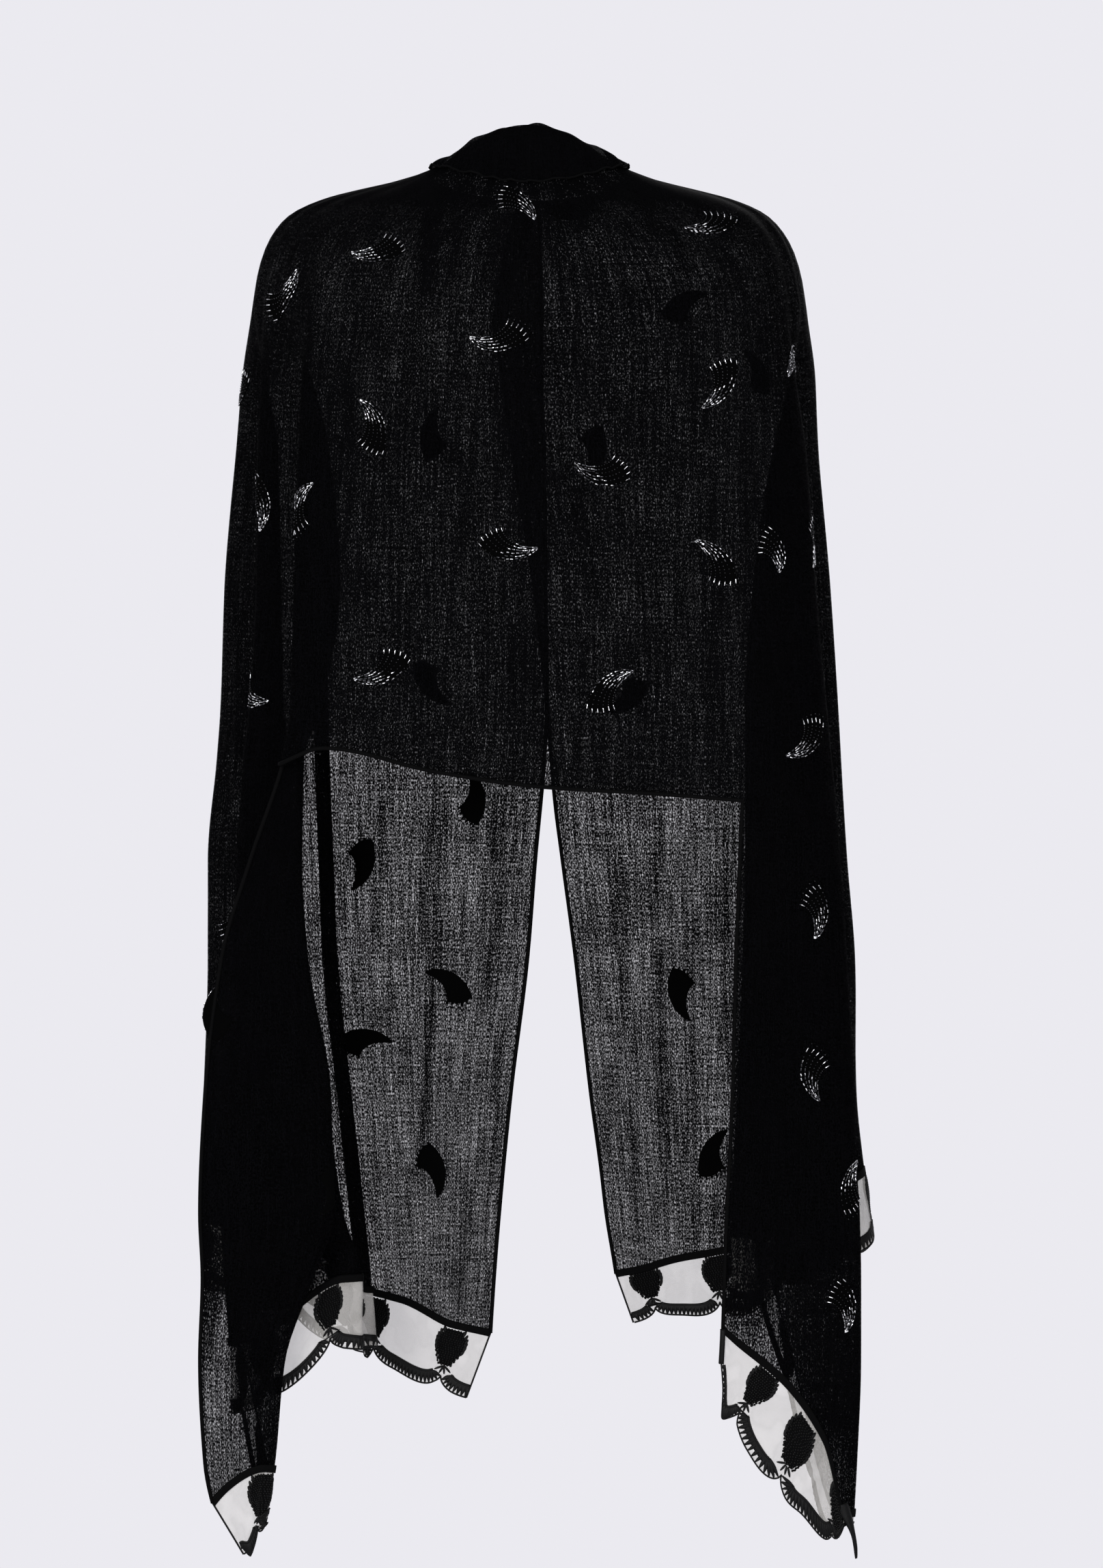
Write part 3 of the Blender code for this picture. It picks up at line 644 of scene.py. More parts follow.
def principled(name, settings):
    """A new finish, with its tree and shader."""
    material = bpy.data.materials.new(name)
    material.use_nodes = True
    shader = material.node_tree.nodes["Principled BSDF"]
    for socket, value in settings.items():
        shader.inputs[socket].default_value = value
    return material, material.node_tree, shader


def blend(tree, shader, factor, first, second):
    """Colours the shader from the first colour, where the factor is 0, to the second, where it is 1."""
    mix = add_node(tree, "ShaderNodeMix", data_type="RGBA")
    mix.inputs["A"].default_value = (*first, 1)
    mix.inputs["B"].default_value = (*second, 1)
    tree.links.new(factor, mix.inputs["Factor"])
    tree.links.new(mix.outputs["Result"], shader.inputs["Base Color"])


def raise_by(tree, shader, height, strength, distance):
    """Gives the shader's surface small bumps of this height."""
    bump = add_node(tree, "ShaderNodeBump")
    bump.inputs["Strength"].default_value = strength
    bump.inputs["Distance"].default_value = distance
    tree.links.new(height, bump.inputs["Height"])
    tree.links.new(bump.outputs["Normal"], shader.inputs["Normal"])


# %% The slub weave group
def make_slub_weave():
    """Puts out the cover of a slubby open weave, centred on zero, and a height for bump."""
    group = bpy.data.node_groups.new("slub_weave", "ShaderNodeTree")
    for socket, direction, kind in (
        ("Vector", "INPUT", "Vector"),
        ("Streaks", "INPUT", "Float"),
        ("Speckle", "INPUT", "Float"),
        ("Cover", "OUTPUT", "Float"),
        ("Height", "OUTPUT", "Float"),
    ):
        group.interface.new_socket(name=socket, in_out=direction, socket_type="NodeSocket" + kind)
    source = group.nodes.new("NodeGroupInput")
    result = group.nodes.new("NodeGroupOutput")
    vector = source.outputs["Vector"]

    def yarns(across, along, detail=2.0):
        return math_node(group, "SUBTRACT", stretched_noise(group, vector, across, along, detail), 0.5)

    warp = yarns(420, 16)
    warp_fine = yarns(1100, 40)
    weft = yarns(24, 700)
    grain = yarns(1250, 520, detail=1.0)
    thicker = yarns(26, 15, detail=1.5)
    streaks = plus(group, warp, warp_fine, 0.7)
    streaks = plus(group, streaks, weft, 0.7)
    streaks = plus(group, streaks, thicker, 0.35)
    streaks = math_node(group, "MULTIPLY", streaks, source.outputs["Streaks"])
    speckle = math_node(group, "MULTIPLY", grain, source.outputs["Speckle"])
    cover = math_node(group, "ADD", streaks, speckle)
    group.links.new(cover, result.inputs["Cover"])
    group.links.new(math_node(group, "ADD", grain, warp_fine), result.inputs["Height"])
    return group


SLUB_WEAVE = make_slub_weave()
print("weave group sockets:", [item.name for item in SLUB_WEAVE.interface.items_tree])


# %% Gauze finish
def make_gauze(name, cover, streaks, speckle):
    """Open black cashmere. cover is the share of each face of the shell that yarn closes."""
    material, tree, shader = principled(name, {"Roughness": 0.9, "Specular IOR Level": 0.02})
    coordinates = add_node(tree, "ShaderNodeUVMap", uv_map="weave")
    weave = add_node(tree, "ShaderNodeGroup", node_tree=SLUB_WEAVE)
    weave.inputs["Streaks"].default_value = streaks
    weave.inputs["Speckle"].default_value = speckle
    tree.links.new(coordinates.outputs["UV"], weave.inputs["Vector"])
    fullness = add_node(tree, "ShaderNodeAttribute", attribute_name="fullness")
    alpha = math_node(tree, "ADD", weave.outputs["Cover"], cover)
    alpha = math_node(tree, "ADD", alpha, fullness.outputs["Fac"], clamp=True)
    tree.links.new(alpha, shader.inputs["Alpha"])
    height = weave.outputs["Height"]
    lighter = math_node(tree, "ADD", height, 0.5)
    blend(tree, shader, lighter, (0.0002, 0.0002, 0.0003), (0.0014, 0.0014, 0.0018))
    raise_by(tree, shader, height, 0.15, 0.0004)
    return material


ONE_LAYER_COVER = 0.80
GAUZE = make_gauze("gauze_finish", ONE_LAYER_COVER, 0.60, 1.8)
print("one layer lets through about", round((1 - ONE_LAYER_COVER) ** 2, 3), "of the light")


# %% [markdown]
# ## The gauze body
# On the real stole the whole black part is one cut of cloth, so it is one piece here too: a single grid
# that runs from the left end, up over the shoulders and the nape, to the right end, with its long edge
# free below the back. The solids split it into stretches. Joined, no bright seam line shows where they
# met.

# %% The gauze grid
COLUMN_PITCH = 4.9 * MM
ROW_PITCH = 7.6 * MM
GAUZE_WALL = 0.5 * MM
FALL_LEVEL = -0.62
BACK_LEVEL = -0.25
YOKE_STEPS = 24

left_columns = even_stations(0, LEFT_END, COLUMN_PITCH, FALL_LEVEL)
back_columns = even_stations(LEFT_END, RIGHT_END, COLUMN_PITCH, BACK_LEVEL)
right_columns = even_stations(RIGHT_END, RING_END, COLUMN_PITCH, FALL_LEVEL)
columns = np.concatenate((left_columns, back_columns[1:-1], right_columns))
hem = hem_height(columns)
upper_count = int(round((YOKE_Z - hem.mean()) / ROW_PITCH))
upper_z = YOKE_Z + (hem - YOKE_Z) * np.linspace(0, 1, upper_count + 1)[:, None]
seams = seam_height(columns)
lower_count = int(round((hem - seams)[columns < 10].mean() / ROW_PITCH))
lower_z = hem + (seams - hem) * np.linspace(0, 1, lower_count + 1)[1:, None]
print("columns", len(columns), "rows", YOKE_STEPS, upper_count, lower_count)


# %% Creases, listed one by one
# Each crease is a soft trough or ridge along a line on the cloth: the ring station and height, in mm, of
# its two ends, its half width and how far it stands out, in mm. They differ in length, depth and spacing
# as on the real one.
CREASE_COLUMNS = "station_1 z_1 station_2 z_2 half_width out".split()
CREASES = (
    (1.2, -500, 1.5, -820, 7, 1.4),
    (2.1, -440, 2.5, -700, 8, -1.6),
    (0.6, -620, 0.8, -860, 6, 1.0),
    (1.8, -250, 1.4, -520, 9, 1.8),
    (0.4, -575, 2.8, -592, 7, 1.2),
    (0.2, -700, 2.6, -722, 8, -1.0),
    (1.0, -655, 2.8, -640, 6, 0.9),
    (8.4, -300, 8.8, -700, 9, 1.8),
    (9.3, -200, 9.5, -560, 8, -1.5),
    (10.6, -180, 10.4, -640, 9, 2.0),
    (11.4, -240, 11.3, -780, 8, -1.8),
    (12.4, -300, 12.3, -820, 7, 1.5),
    (14.5, -420, 14.4, -900, 7, 1.5),
    (16.5, -520, 16.4, -900, 7, -1.4),
    (18.3, -520, 18.4, -900, 7, 1.4),
    (41.0, -480, 40.7, -800, 8, 1.5),
    (40.0, -440, 39.6, -760, 8, -1.4),
    (41.6, -560, 39.4, -548, 7, 1.1),
    (41.4, -690, 39.2, -705, 7, 1.0),
    (38.2, -300, 38.5, -700, 9, -1.6),
    (36.8, -240, 36.6, -640, 9, 1.8),
    (34.5, -200, 34.6, -640, 9, 2.0),
    (33.6, -300, 33.5, -720, 8, -1.8),
    (31.0, -420, 31.2, -860, 7, 1.4),
    (28.6, -520, 28.9, -900, 8, 1.8),
    (27.8, -620, 28.2, -860, 6, -1.2),
)


def along_ring(station):
    return np.interp(station, RING_STATIONS, RING_SHARES) * RING_LENGTH


def crease_offset(station, z):
    """How far the creases move the cloth outwards at ring stations and heights."""
    metres = along_ring(station)
    moved = np.zeros_like(z)
    for row in CREASES:
        crease = dict(zip(CREASE_COLUMNS, row))
        start, end = ((along_ring(crease["station" + i]), crease["z" + i] * MM) for i in ("_1", "_2"))
        run = np.array(end) - np.array(start)
        length = np.hypot(*run)
        along = ((metres - start[0]) * run[0] + (z - start[1]) * run[1]) / length**2
        aside = ((metres - start[0]) * run[1] - (z - start[1]) * run[0]) / length
        fade = eased(np.clip(np.minimum(along, 1 - along) * 4 + 0.5, 0, 1))
        moved += crease["out"] * MM * fade * np.exp(-((aside / (crease["half_width"] * MM)) ** 2))
    return moved


def cloth_point(station, z, out=0.0):
    """The creased cloth's point at a ring station and height, moved out to the cloth's right side."""
    base = place(station, z)
    beside = place(np.asarray(station) + 0.02, z) - place(np.asarray(station) - 0.02, z)
    above = place(station, np.asarray(z) + 0.5 * MM) - place(station, np.asarray(z) - 0.5 * MM)
    right_side = unit(np.cross(beside, above))
    moved = crease_offset(np.asarray(station, float), np.asarray(z, float)) + out
    return base + right_side * moved[..., None], right_side


# %% Where the yarns close up
# A pressed fold shows as a darker stripe. Each row is one stripe, in mm as seen from behind: its middle at
# its top and at its foot, half its width, and how much more of each face the yarns close there.
CLOSED_COLUMNS = "x_top z_top x_low z_low half_width closed".split()
CLOSED_BACK = (
    (0, 8, 0, -40, 44, 0.09),
    (-150, -120, -146, -330, 24, 0.12),
    (-76, 0, -84, -95, 8, 0.24),
    (-58, -8, -60, -80, 3, 0.16),
    (-24, -5, -16, -270, 11, 0.15),
    (-8, -180, -6, -450, 14, 0.12),
    (14, -45, 48, -185, 3, 0.15),
    (39, -12, 40, -40, 7, 0.16),
    (86, 5, 98, -50, 5, 0.15),
    (-146, -125, -138, -205, 5, 0.16),
    (-122, -200, -98, -260, 5, 0.13),
    (-112, -250, -104, -330, 4, 0.09),
    (-58, -280, -66, -420, 4, 0.07),
    (34, -200, 44, -440, 5, 0.07),
    (140, -200, 146, -462, 7, 0.15),
    (118, -60, 124, -180, 5, 0.08),
    (166, -120, 170, -460, 6, 0.10),
)
CLOSED_FRONT = (
    (-72, -440, -84, -560, 4, 0.14),
    (-68, -455, -78, -640, 5, 0.12),
    (-78, -620, -82, -740, 4, 0.20),
    (-26, -460, -30, -620, 6, 0.12),
    (-20, -640, -34, -800, 5, 0.09),
    (-112, -455, -120, -560, 4, 0.11),
    (-124, -700, -118, -850, 5, 0.08),
    (-52, -760, -56, -880, 5, 0.08),
    (60, -460, 74, -640, 5, 0.11),
    (96, -470, 104, -800, 4, 0.11),
    (122, -560, 128, -820, 5, 0.09),
    (150, -460, 152, -700, 6, 0.12),
    (78, -700, 84, -830, 4, 0.09),
)
CLOSED_SIDES = (
    (-242, -725, -240, -830, 30, 0.17),
    (-246, -790, -262, -905, 13, 0.19),
    (168, -745, 168, -868, 21, 0.19),
    (-236, -850, -236, -1010, 26, 0.03),
    (226, -700, 236, -1030, 28, 0.17),
    (238, -945, 242, -1005, 12, -0.15),
    (-178, -820, -176, -980, 14, 0.10),
)


# The yarns close up towards the neck too, and most at the nape. Below the low level the stripes of the
# sides also count on the front and back layers, which hang behind the borders there.
NECK_CLOSED = 0.03
NAPE_CLOSED = 0.34
NAPE_LEVEL = -16 * MM
NAPE_SOFT = 10 * MM
LOW_LEVEL = -0.69


# %% The gauze body's mesh
def build_gauze():
    steps = np.linspace(0, 1, YOKE_STEPS + 1)[:-1, None]
    yoke_part = yoke(np.broadcast_to(columns, (YOKE_STEPS, len(columns))), steps)
    upper_part, _ = cloth_point(np.broadcast_to(columns, upper_z.shape), upper_z)
    lower_part, _ = cloth_point(np.broadcast_to(columns, lower_z.shape), lower_z)
    points = np.concatenate((yoke_part, upper_part, lower_part))
    present = np.ones(points.shape[:2], bool)
    over_back = (columns > LEFT_END + 0.001) & (columns < RIGHT_END - 0.001)
    present[YOKE_STEPS + upper_count + 1:, over_back] = False
    number = np.full(points.shape[:2], -1)
    number[present] = np.arange(present.sum())
    across = np.broadcast_to(np.arange(len(columns)) * COLUMN_PITCH, points.shape[:2])
    down = np.linalg.norm(np.diff(points, axis=0), axis=-1)
    along = np.concatenate((np.zeros((1, len(columns))), np.cumsum(down, axis=0)))
    along = along - along[YOKE_STEPS]
    return walled_sheet(
        "gauze_body", points[present], grid_faces(number), GAUZE_WALL,
        uv=(across[present], along[present]), fullness=fullness_at(points, present),
    )


def fullness_at(points, present):
    """How far the yarns close up at each point: near the nape, in the upright folds and at the sides."""
    x, z = points[..., 0], points[..., 2]
    seen_x = (x - EYE_X) / (1 + points[..., 1] / EYE_DISTANCE) + EYE_X
    row = np.arange(points.shape[0])[:, None] / YOKE_STEPS
    on_back = (columns > LEFT_END - 1) & (columns < RIGHT_END + 1)
    on_front = (columns < LEFT_SIDE_START) | (columns > RIGHT_SIDE_START)
    on_sides = ~(on_back | on_front) | (z < LOW_LEVEL)
    near_neck = np.clip(1 - row, 0, 1) ** 1.5 * NECK_CLOSED
    nape = np.clip((z - NAPE_LEVEL) / NAPE_SOFT, 0, 1) * (row < 1) * (~on_front) * NAPE_CLOSED
    shaded = near_neck + nape
    for table, where in ((CLOSED_BACK, on_back), (CLOSED_FRONT, on_front), (CLOSED_SIDES, on_sides)):
        for fold_row in table:
            fold = dict(zip(CLOSED_COLUMNS, fold_row))
            down = (z / MM - fold["z_top"]) / (fold["z_low"] - fold["z_top"])
            centre = fold["x_top"] + (fold["x_low"] - fold["x_top"]) * np.clip(down, 0, 1)
            ends = eased(np.clip(np.minimum(down, 1 - down) * 3 + 0.4, 0, 1))
            aside = (seen_x / MM - centre) / fold["half_width"]
            shaded = shaded + fold["closed"] * ends * where * np.exp(-(aside**4))
    return shaded[present]


body = build_gauze()
finish_piece(body, GAUZE, (
    "shoulder_left", "shoulder_right", "back_panel", "front_left", "side_left", "front_right", "side_right",
))

# %% [markdown]
# ## Rolled hems and seam bands
# Both long edges are rolled over and whipped down, which makes a thin, dense black cord. A tube along the
# cloth's own edge is the simplest true form of it. Where gauze and organza meet, both are turned in and
# stitched flat, a solid black band about 6 mm wide.

# %% Opaque black thread
def make_thread(name, colour, lighter, roughness, gloss):
    """Close black stitching: a fine uneven grain, and a little silk sheen."""
    material, tree, shader = principled(name, {"Roughness": roughness, "Specular IOR Level": gloss})
    grain = object_noise(tree, 900, 2)
    blend(tree, shader, grain, colour, lighter)
    raise_by(tree, shader, grain, 0.4, 0.0004)
    return material


HEM_THREAD = make_thread("hem_thread", (0.0004, 0.0004, 0.0004), (0.0016, 0.0016, 0.0018), 0.8, 0.05)
SATIN_THREAD = make_thread("satin_thread", (0.0008, 0.0008, 0.0008), (0.004, 0.004, 0.0042), 0.5, 0.12)


# %% Rolled hems
HEM_RADIUS = 1.6 * MM


def down_the_edge(station, top, bottom, pitch=6 * MM):
    """Points along the cloth at one ring station, from one height to another."""
    z = np.linspace(top, bottom, max(2, int(abs(top - bottom) / pitch)))
    points, _ = cloth_point(np.full_like(z, station), z)
    return points


def up_the_yoke(station):
    steps = np.linspace(0.02, 1, 24)
    return yoke(np.full_like(steps, station), steps)


def whole_front_edge(station):
    bottom = float(seam_height(np.array([station]))[0])
    return np.concatenate((up_the_yoke(station)[:-1], down_the_edge(station, YOKE_Z, bottom)))


hem_corners = hem_height(np.array([LEFT_END, RIGHT_END], float))
hem_stations = np.linspace(LEFT_END, RIGHT_END, 90)
back_edge, _ = cloth_point(hem_stations, hem_height(hem_stations))
left_low = float(seam_height(np.array([float(LEFT_END)]))[0])
right_low = float(seam_height(np.array([float(RIGHT_END)]))[0])
hem_paths = {
    "hem_front_left": whole_front_edge(0.0),
    "hem_front_right": whole_front_edge(float(RING_END)),
    "hem_back": back_edge,
    "hem_side_left": down_the_edge(float(LEFT_END), hem_corners[0], left_low),
    "hem_side_right": down_the_edge(float(RIGHT_END), hem_corners[1], right_low),
}
for hem_name, hem_path in hem_paths.items():
    finish_piece(tube(hem_name, hem_path, HEM_RADIUS), HEM_THREAD)

# %% [markdown]
# ## The organza ends
# Organza is a thin, crisp, slightly see-through silk. Its ends are cut to scallops and hang straight on
# from the gauze, so each border is a sheet that starts at the seam and runs on down the cloth's own slope.
# Its crumples are small and sharp, because the silk is crisp. What is stitched on it is placed by two
# lengths: how far along the end, and how far down from the seam.

# %% The organza's form
ORGANZA_WALL = 0.35 * MM


def coarse_stations(start, end):
    """The ring stations between which the end's length is measured, half a station apart."""
    every = np.arange(0, RING_END + 0.1, 0.5)
    edges = ((0, 1), (LEFT_END, -1), (RIGHT_END, 1), (RING_END, -1))
    hems_inside = [edge + side * HEM_STATION for edge, side in edges]
    every = np.unique(np.round(np.concatenate((every, hems_inside)), 4))
    return every[(every > start - 0.001) & (every < end + 0.001)]


def crumple(metres, drop, seed):
    """Small sharp ridges in the crisp silk, from a few crossing waves."""
    x, y = metres / MM, drop / MM
    waves = np.sin(x / 9.1 + 1.7 * np.sin(y / 13.0 + seed) + seed)
    waves += 0.8 * np.sin(x / 5.3 - y / 8.7 + 2.1 * seed)
    waves += 0.6 * np.sin(x / 14.0 + y / 6.1 + 0.7 * seed)
    ridge = np.sign(waves) * np.abs(waves) ** 0.8
    return 0.35 * MM * ridge * np.clip(drop / (8 * MM), 0, 1)


# How the silk falls along each end, in mm of seam: how far it leans on along the end and its share of the
# full depth. The left end is measured from the front edge, the right one from the edge behind.
FALL_COLUMNS = "metres lean share".split()
LEFT_FALL = (
    (0, 0.30, 1.0), (45, 0.26, 1.0), (88, 0.14, 1.02), (106, 0.02, 1.04), (120, -0.20, 0.86),
    (136, -0.04, 0.84), (152, 0.0, 1.0), (190, 0.0, 1.08), (240, 0.0, 1.0), (640, 0.0, 1.0), (672, 0.0, 0.86),
    (690, 0.0, 0.62), (704, 0.0, 0.72), (716, -0.02, 1.06), (734, -0.14, 1.06), (757, -0.30, 0.88),
)
RIGHT_FALL = (
    (0, 0.02, 0.52), (6, 0.08, 0.74), (14, 0.2, 0.92), (25, 0.34, 1.0), (50, 0.66, 0.95), (72, 0.60, 1.04),
    (98, 0.40, 1.18), (127, 0.60, 1.0), (150, 0.3, 0.82), (164, 0.1, 0.50), (180, 0.0, 0.16),
    (205, 0.0, 0.20), (240, 0.0, 0.5), (345, 0.0, 0.78),
    (405, 0.0, 0.94), (430, 0.0, 1.0), (735, 0.0, 1.0), (765, 0.1, 0.92), (800, 0.2, 0.8), (838, 0.22, 0.76),
)
# Where the joints between two scallops lie, in mm along each end.
LEFT_JOINTS = (28, 98, 154, 212, 270, 328, 386, 445, 502, 558, 612, 664, 716)
RIGHT_JOINTS = (50, 98, 157, 215, 275, 335, 395, 455, 515, 575, 635, 695, 755, 816)


class End:
    """One short end of the stole: where its seam runs, how the organza falls, and its scalloped depth."""

    def __init__(self, start, end, on_left):
        stations = coarse_stations(start, end)
        seam = place(stations, seam_height(stations))
        self.metres = lengths(seam)
        self.width = self.metres[-1]
        ahead = place(stations + 0.02, seam[:, 2])
        along = unit(ahead - seam)
        rows, joints = (LEFT_FALL, LEFT_JOINTS) if on_left else (RIGHT_FALL, RIGHT_JOINTS)
        lean = smooth(rows, FALL_COLUMNS, "lean", self.metres / MM) * (1 if on_left else -1)
        self.joints = np.array(joints) * MM
        below = place(stations, seam[:, 2] - 5 * MM)
        down = unit(below - seam)
        self.fine = np.linspace(start, end, 900)
        self.seam = place(self.fine, seam_height(self.fine))
        self.fine_metres = np.interp(self.fine, stations, self.metres)
        fall = along * lean[:, None] + down * np.sqrt(1 - lean**2)[:, None]
        self.fall = unit(read_rows(self.fine, stations, fall))
        self.share = smooth(rows, FALL_COLUMNS, "share", self.fine_metres / MM)
        self.right_side = unit(np.cross(self.fall, np.gradient(self.seam, axis=0)))
        self.seed = 1.0 if on_left else 4.0

    def read(self, values, metres):
        return read_rows(metres, self.fine_metres, values)

    def side(self, metres):
        """The direction in which the organza's right side looks, at a length along the end."""
        return unit(self.read(self.right_side, metres))

    def depth(self, metres):
        """How deep the organza is, at a length along the end."""
        return scallop_depth(metres, self.joints) * np.interp(metres, self.fine_metres, self.share)

    def point(self, metres, drop, out=0.0):
        """The organza's point at a length along the end and a drop from the seam, moved outwards."""
        metres, drop = np.broadcast_arrays(np.asarray(metres, float), np.asarray(drop, float))
        lift = crumple(metres, drop, self.seed) + out
        fallen = self.read(self.seam, metres) + self.read(self.fall, metres) * drop[..., None]
        return fallen + self.side(metres) * lift[..., None]


left_end = End(0, LEFT_END, True)
right_end = End(RIGHT_END, RING_END, False)
for end_name, one_end in (("left", left_end), ("right", right_end)):
    print(end_name, "end:", round(one_end.width, 3), "m wide with", len(one_end.joints) - 1, "whole scallops")


# %% [markdown]
# ## The organza's finish
# Pale warm grey silk. A little light passes through it, its threads show as a faint fine grain, and its
# colour is lighter and darker in soft patches. Along fine wrinkle lines its colour is painted darker, as
# painted shade in its creases.

# %% Organza finish
def make_organza():
    settings = {"Roughness": 0.55, "Specular IOR Level": 0.3, "Sheen Weight": 0.15, "Alpha": 0.36}
    material, tree, shader = principled("organza_finish", settings)
    coordinates = add_node(tree, "ShaderNodeUVMap", uv_map="weave")
    threads = stretched_noise(tree, coordinates.outputs["UV"], 1400, 260, detail=1.0)
    crossing = stretched_noise(tree, coordinates.outputs["UV"], 240, 1400, detail=1.0)
    cloud = stretched_noise(tree, coordinates.outputs["UV"], 52, 34, detail=1.6)
    grain = math_node(tree, "ADD", threads, crossing)
    off_middle = math_node(tree, "ABSOLUTE", math_node(tree, "SUBTRACT", cloud, 0.5))
    wrinkle_and_shade = math_node(tree, "SUBTRACT", 1.0, math_node(tree, "MULTIPLY", off_middle, 16.0), clamp=True)
    factor = plus(tree, math_node(tree, "MULTIPLY", grain, 0.35), cloud, 1.1)
    # The wrinkle lines darken the colour here: painted shade in the silk's creases. They also feed the bump
    # below.
    factor = math_node(tree, "SUBTRACT", factor, math_node(tree, "MULTIPLY", wrinkle_and_shade, 0.24))
    factor = math_node(tree, "SUBTRACT", factor, 0.08, clamp=True)
    blend(tree, shader, factor, (0.33, 0.32, 0.30), (0.57, 0.555, 0.53))
    height = plus(tree, math_node(tree, "MULTIPLY", grain, 0.3), cloud, 2.5)
    raise_by(tree, shader, plus(tree, height, wrinkle_and_shade, 0.5), 0.6, 0.0012)
    return material


ORGANZA = make_organza()


# %% The organza sheets
def build_border(name, one_end, columns_across=330, rows_down=20):
    metres = np.linspace(0, one_end.width, columns_across)
    down = np.linspace(0, 1, rows_down)[:, None]
    drop = down * one_end.depth(metres)
    points = one_end.point(np.broadcast_to(metres, drop.shape), drop)
    uv = (np.broadcast_to(metres, drop.shape).ravel(), drop.ravel())
    return walled_sheet(name, points, grid_faces(numbered(points.shape)), ORGANZA_WALL, uv=uv)


border_left = finish_piece(
    build_border("border_left", left_end), ORGANZA, ("border_front_left", "border_side_left")
)
border_right = finish_piece(
    build_border("border_right", right_end), ORGANZA, ("border_front_right", "border_side_right")
)


# %% Seam bands
BAND_WIDTH = 5.8 * MM
BAND_WALL = 2.2 * MM


def build_band(name, one_end, columns_across=300):
    """The stitched band: a strip across the seam, up onto the gauze and down onto the organza."""
    metres = np.linspace(0, one_end.width, columns_across)
    drop = np.linspace(-0.5, 0.5, 5)[:, None] * BAND_WIDTH
    points = one_end.point(metres, drop)
    return walled_sheet(name, points, grid_faces(numbered(points.shape)), BAND_WALL)


band_left = finish_piece(build_band("seam_band_left", left_end), HEM_THREAD)
band_right = finish_piece(build_band("seam_band_right", right_end), HEM_THREAD)

# %% [markdown]
# ## The embroidery on the organza
# The scallops are edged as on the real stole: a fine whipped edge, then a close row of tapered satin
# stitches, wide where they start at the inner line and narrow at the edge. Over the joint between two
# scallops stands a fan of black beads with satin petals down its sides, and four stitches reach from its
# foot to the edge. Every stitch and bead goes through the silk, so it shows on both faces. One stitch and
# one bead are modelled, and their copies are placed by lengths along the end and down from the seam.

# %% Modelled once: stitch, bugle and seed
def read_template(piece):
    """A modelled template's vertices and faces. The template itself is then removed."""
    vertices = np.zeros(3 * len(piece.data.vertices))
    piece.data.vertices.foreach_get("co", vertices)
    faces = [tuple(face.vertices) for face in piece.data.polygons]
    bpy.data.objects.remove(piece, do_unlink=True)
    return vertices.reshape(-1, 3), faces


def edit_all(operation, **settings):
    """Does one operation on the whole mesh of the active piece."""
    bpy.ops.object.mode_set(mode="EDIT")
    bpy.ops.mesh.select_all(action="SELECT")
    operation(**settings)
    bpy.ops.object.mode_set(mode="OBJECT")


def lay_down():
    """Turns the active template so that its long axis lies along x."""
    edit_all(bpy.ops.transform.rotate, value=math.pi / 2, orient_axis="Y", center_override=(0, 0, 0))


def stitch_template():
    """A spindle of satin thread, one unit long, wide and high, fuller on its upper side."""
    deselect()
    bpy.ops.mesh.primitive_uv_sphere_add(segments=7, ring_count=6, radius=0.5)
    lay_down()
    edit_all(bpy.ops.transform.resize, value=(1, 1, 1.15), center_override=(0, 0, -0.1))
    return read_template(bpy.context.view_layer.objects.active)


def bugle_template():
    """A short glass tube with its two rims worn round."""
    deselect()
    bpy.ops.mesh.primitive_cylinder_add(vertices=6, radius=0.5, depth=1)
    lay_down()
    edit_all(bpy.ops.mesh.bevel, offset=0.12, segments=1, affect="EDGES")
    return read_template(bpy.context.view_layer.objects.active)


def seed_template():
    """A small round bead, a little flat."""
    deselect()
    bpy.ops.mesh.primitive_ico_sphere_add(subdivisions=1, radius=0.5)
    edit_all(bpy.ops.transform.resize, value=(1.05, 1.05, 0.9), center_override=(0, 0, 0))
    return read_template(bpy.context.view_layer.objects.active)


STITCH = stitch_template()
BUGLE = bugle_template()
SEED = seed_template()
ROUND = (STITCH[0] * (1, 1, 0.9), STITCH[1])


def tooth_template():
    """A satin tooth: the stitch again, drawn narrow towards +x."""
    vertices, faces = STITCH
    along = vertices[:, :1]
    narrow = 1.05 - 0.22 * (along + 0.5)
    fuller = np.sign(along) * np.abs(2 * along) ** 1.6 / 2
    return np.concatenate((fuller, vertices[:, 1:] * narrow), 1), faces


TOOTH = tooth_template()


def scatter(name, template, centres, along, out, sizes):
    """One joined mesh of a template's copies, each with its place, long direction, outer side and size."""
    vertices, faces = template
    along = unit(along)
    side = unit(np.cross(out, along))
    frames = np.stack((along, side, np.cross(along, side)), axis=1)
    local = vertices[None] * np.broadcast_to(sizes, (len(centres), 3))[:, None, :]
    points = centres[:, None, :] + np.einsum("nvk,nkj->nvj", local, frames)
    size = len(vertices)
    joined = [tuple(i + k * size for i in face) for k in range(len(centres)) for face in faces]
    piece = new_object(name, points, joined)
    smooth_shaded(piece)
    return piece


# %% Black beads
def make_bead(name, colour, metallic, roughness, gloss):
    """Small glass: nearly even, each bead a little lighter or darker than the next."""
    settings = {"Roughness": roughness, "Metallic": metallic, "Specular IOR Level": gloss}
    material, tree, shader = principled(name, settings)
    spots = math_node(tree, "SUBTRACT", object_noise(tree, 420, 1), 0.36)
    contrast = math_node(tree, "MULTIPLY", spots, 3.4, clamp=True)
    blend(tree, shader, contrast, [0.12 * part for part in colour], colour)
    return material


JET = make_bead("jet_beads", (0.0012, 0.0012, 0.0012), 0.0, 0.3, 0.09)
GUNMETAL = make_bead("gunmetal_beads", (0.10, 0.10, 0.11), 0.8, 0.3, 0.3)
SILVER = make_bead("silver_bugles", (0.95, 0.95, 0.98), 0.85, 0.12, 0.5)

